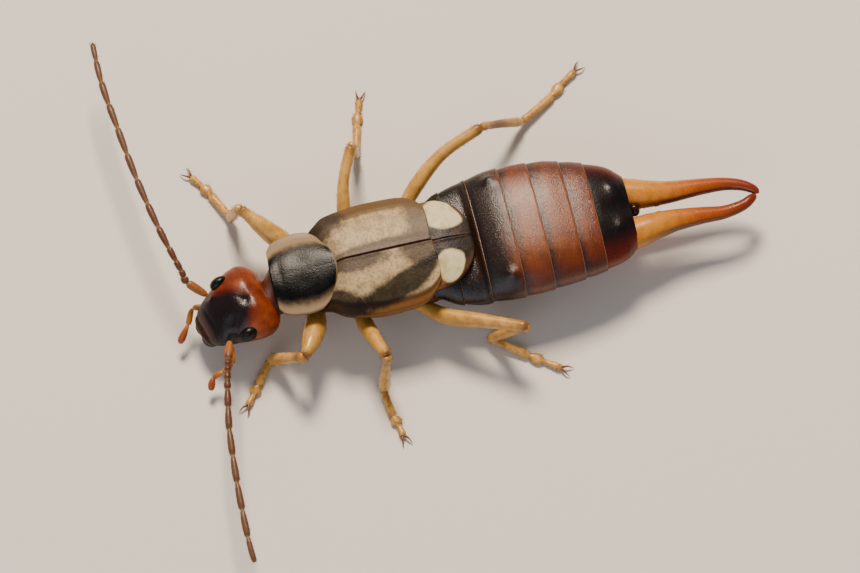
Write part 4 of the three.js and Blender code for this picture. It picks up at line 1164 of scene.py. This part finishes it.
leg_beds, foot_beds = [], []
for place_name, leg in LEGS.items():
    leg_beds.append(make_femur(place_name, leg))
    leg_beds.append(make_tibia(place_name, leg))
    foot_beds.append(make_foot(place_name, leg))

# Setae: short stiff golden hairs on the legs, feet and antennae, leaning towards the tip. The real
# ones are about 0.005 mm thick, drawn here a little thicker so that they show.
SETA_RADIUS = 0.0055
SETA_SINK = 0.004
SETA_CORNERS = (0, 2.094, 4.189)
SETA_FACES = ((0, 1, 2), (1, 0, 3), (2, 1, 3), (0, 2, 3))
SETAE = {
    "setae_legs": {"beds": leg_beds, "slot": "legs", "count": 110, "length": 0.11},
    "setae_feet": {"beds": foot_beds, "slot": "feet", "count": 170, "length": 0.09},
    "setae_antennae": {"beds": antenna_beds, "slot": "antenna", "count": 800, "length": 0.07},
}
LEAN_OUT, LEAN_AHEAD, LEAN_SPREAD = 0.6, 0.8, 0.12
CHART_SIDE = 4
CHART_PATCH = 0.003
# Bare bristles of cuticle, without wax: a dull golden fuzz along the limbs.
hair_skin, tree, output = new_material("seta_cuticle")
surface = add(tree, "ShaderNodeBsdfPrincipled",
              values={"Base Color": linear("#7a5224"), "Roughness": 0.45, "IOR": 1.5})
tree.links.new(surface.outputs[0], output.inputs["Surface"])
chance = np.random.default_rng(11)


def unit(vectors):
    """The vectors at length 1."""
    return vectors / np.linalg.norm(vectors, axis=1)[:, None]


def bed_of_setae(number, rings, count, length):
    """Roots, tips and side directions of the hairs on one limb's rings, and each hair's place on the
    map, where every limb has a square of its own."""
    steps, around = rings.shape[:2]
    i = chance.integers(0, steps - 1, count)
    j = chance.integers(0, around, count)
    t = chance.random((count, 1))
    root = rings[i, j] * (1 - t) + rings[i + 1, j] * t
    middle = rings[i].mean(1) * (1 - t) + rings[i + 1].mean(1) * t
    out = root - middle
    out /= np.linalg.norm(out, axis=1)[:, None] + 1e-9
    ahead = rings[-1].mean(0) - rings[0].mean(0)
    ahead /= np.linalg.norm(ahead)
    lean = unit(out * LEAN_OUT + ahead * LEAN_AHEAD + chance.normal(0, LEAN_SPREAD, (count, 3)))
    tip = root + lean * length * (0.6 + 0.8 * chance.random((count, 1)))
    side = unit(np.cross(lean, out + (0.01, 0, 0)))
    across = (number % CHART_SIDE + 0.05 + 0.9 * j / around) / CHART_SIDE
    up = (number // CHART_SIDE + 0.05 + 0.9 * (i + t[:, 0]) / steps) / CHART_SIDE
    above_floor = (root[:, 2] > 0.03) & (tip[:, 2] > 0.01)
    parts = (root - out * SETA_SINK, tip, side, np.stack([across, up], -1))
    return [part[above_floor] for part in parts]


for name, plan in SETAE.items():
    beds = [bed_of_setae(k, rings, plan["count"], plan["length"]) for k, rings in enumerate(plan["beds"])]
    root, tip, side, chart_place = (np.vstack(part) for part in zip(*beds))
    lift = unit(np.cross(side, tip - root))
    base = [root + SETA_RADIUS * (side * math.cos(a) + lift * math.sin(a)) for a in SETA_CORNERS]
    points = np.stack(base + [tip], 1).reshape(-1, 3)
    faces = [tuple(4 * k + corner for corner in face) for k in range(len(root)) for face in SETA_FACES]
    hairs = make_piece(name, points, faces, hair_skin, plan["slot"])
    corner = np.array([(0, 0), (CHART_PATCH, 0), (0, CHART_PATCH), (CHART_PATCH, CHART_PATCH)])
    spread = chart_place[:, None] + corner[None]
    chart = hairs.data.uv_layers.new(name="OFBake")
    loops = np.array([loop.vertex_index for loop in hairs.data.loops])
    chart.data.foreach_set("uv", spread.reshape(-1, 2)[loops].astype(np.float32).ravel())
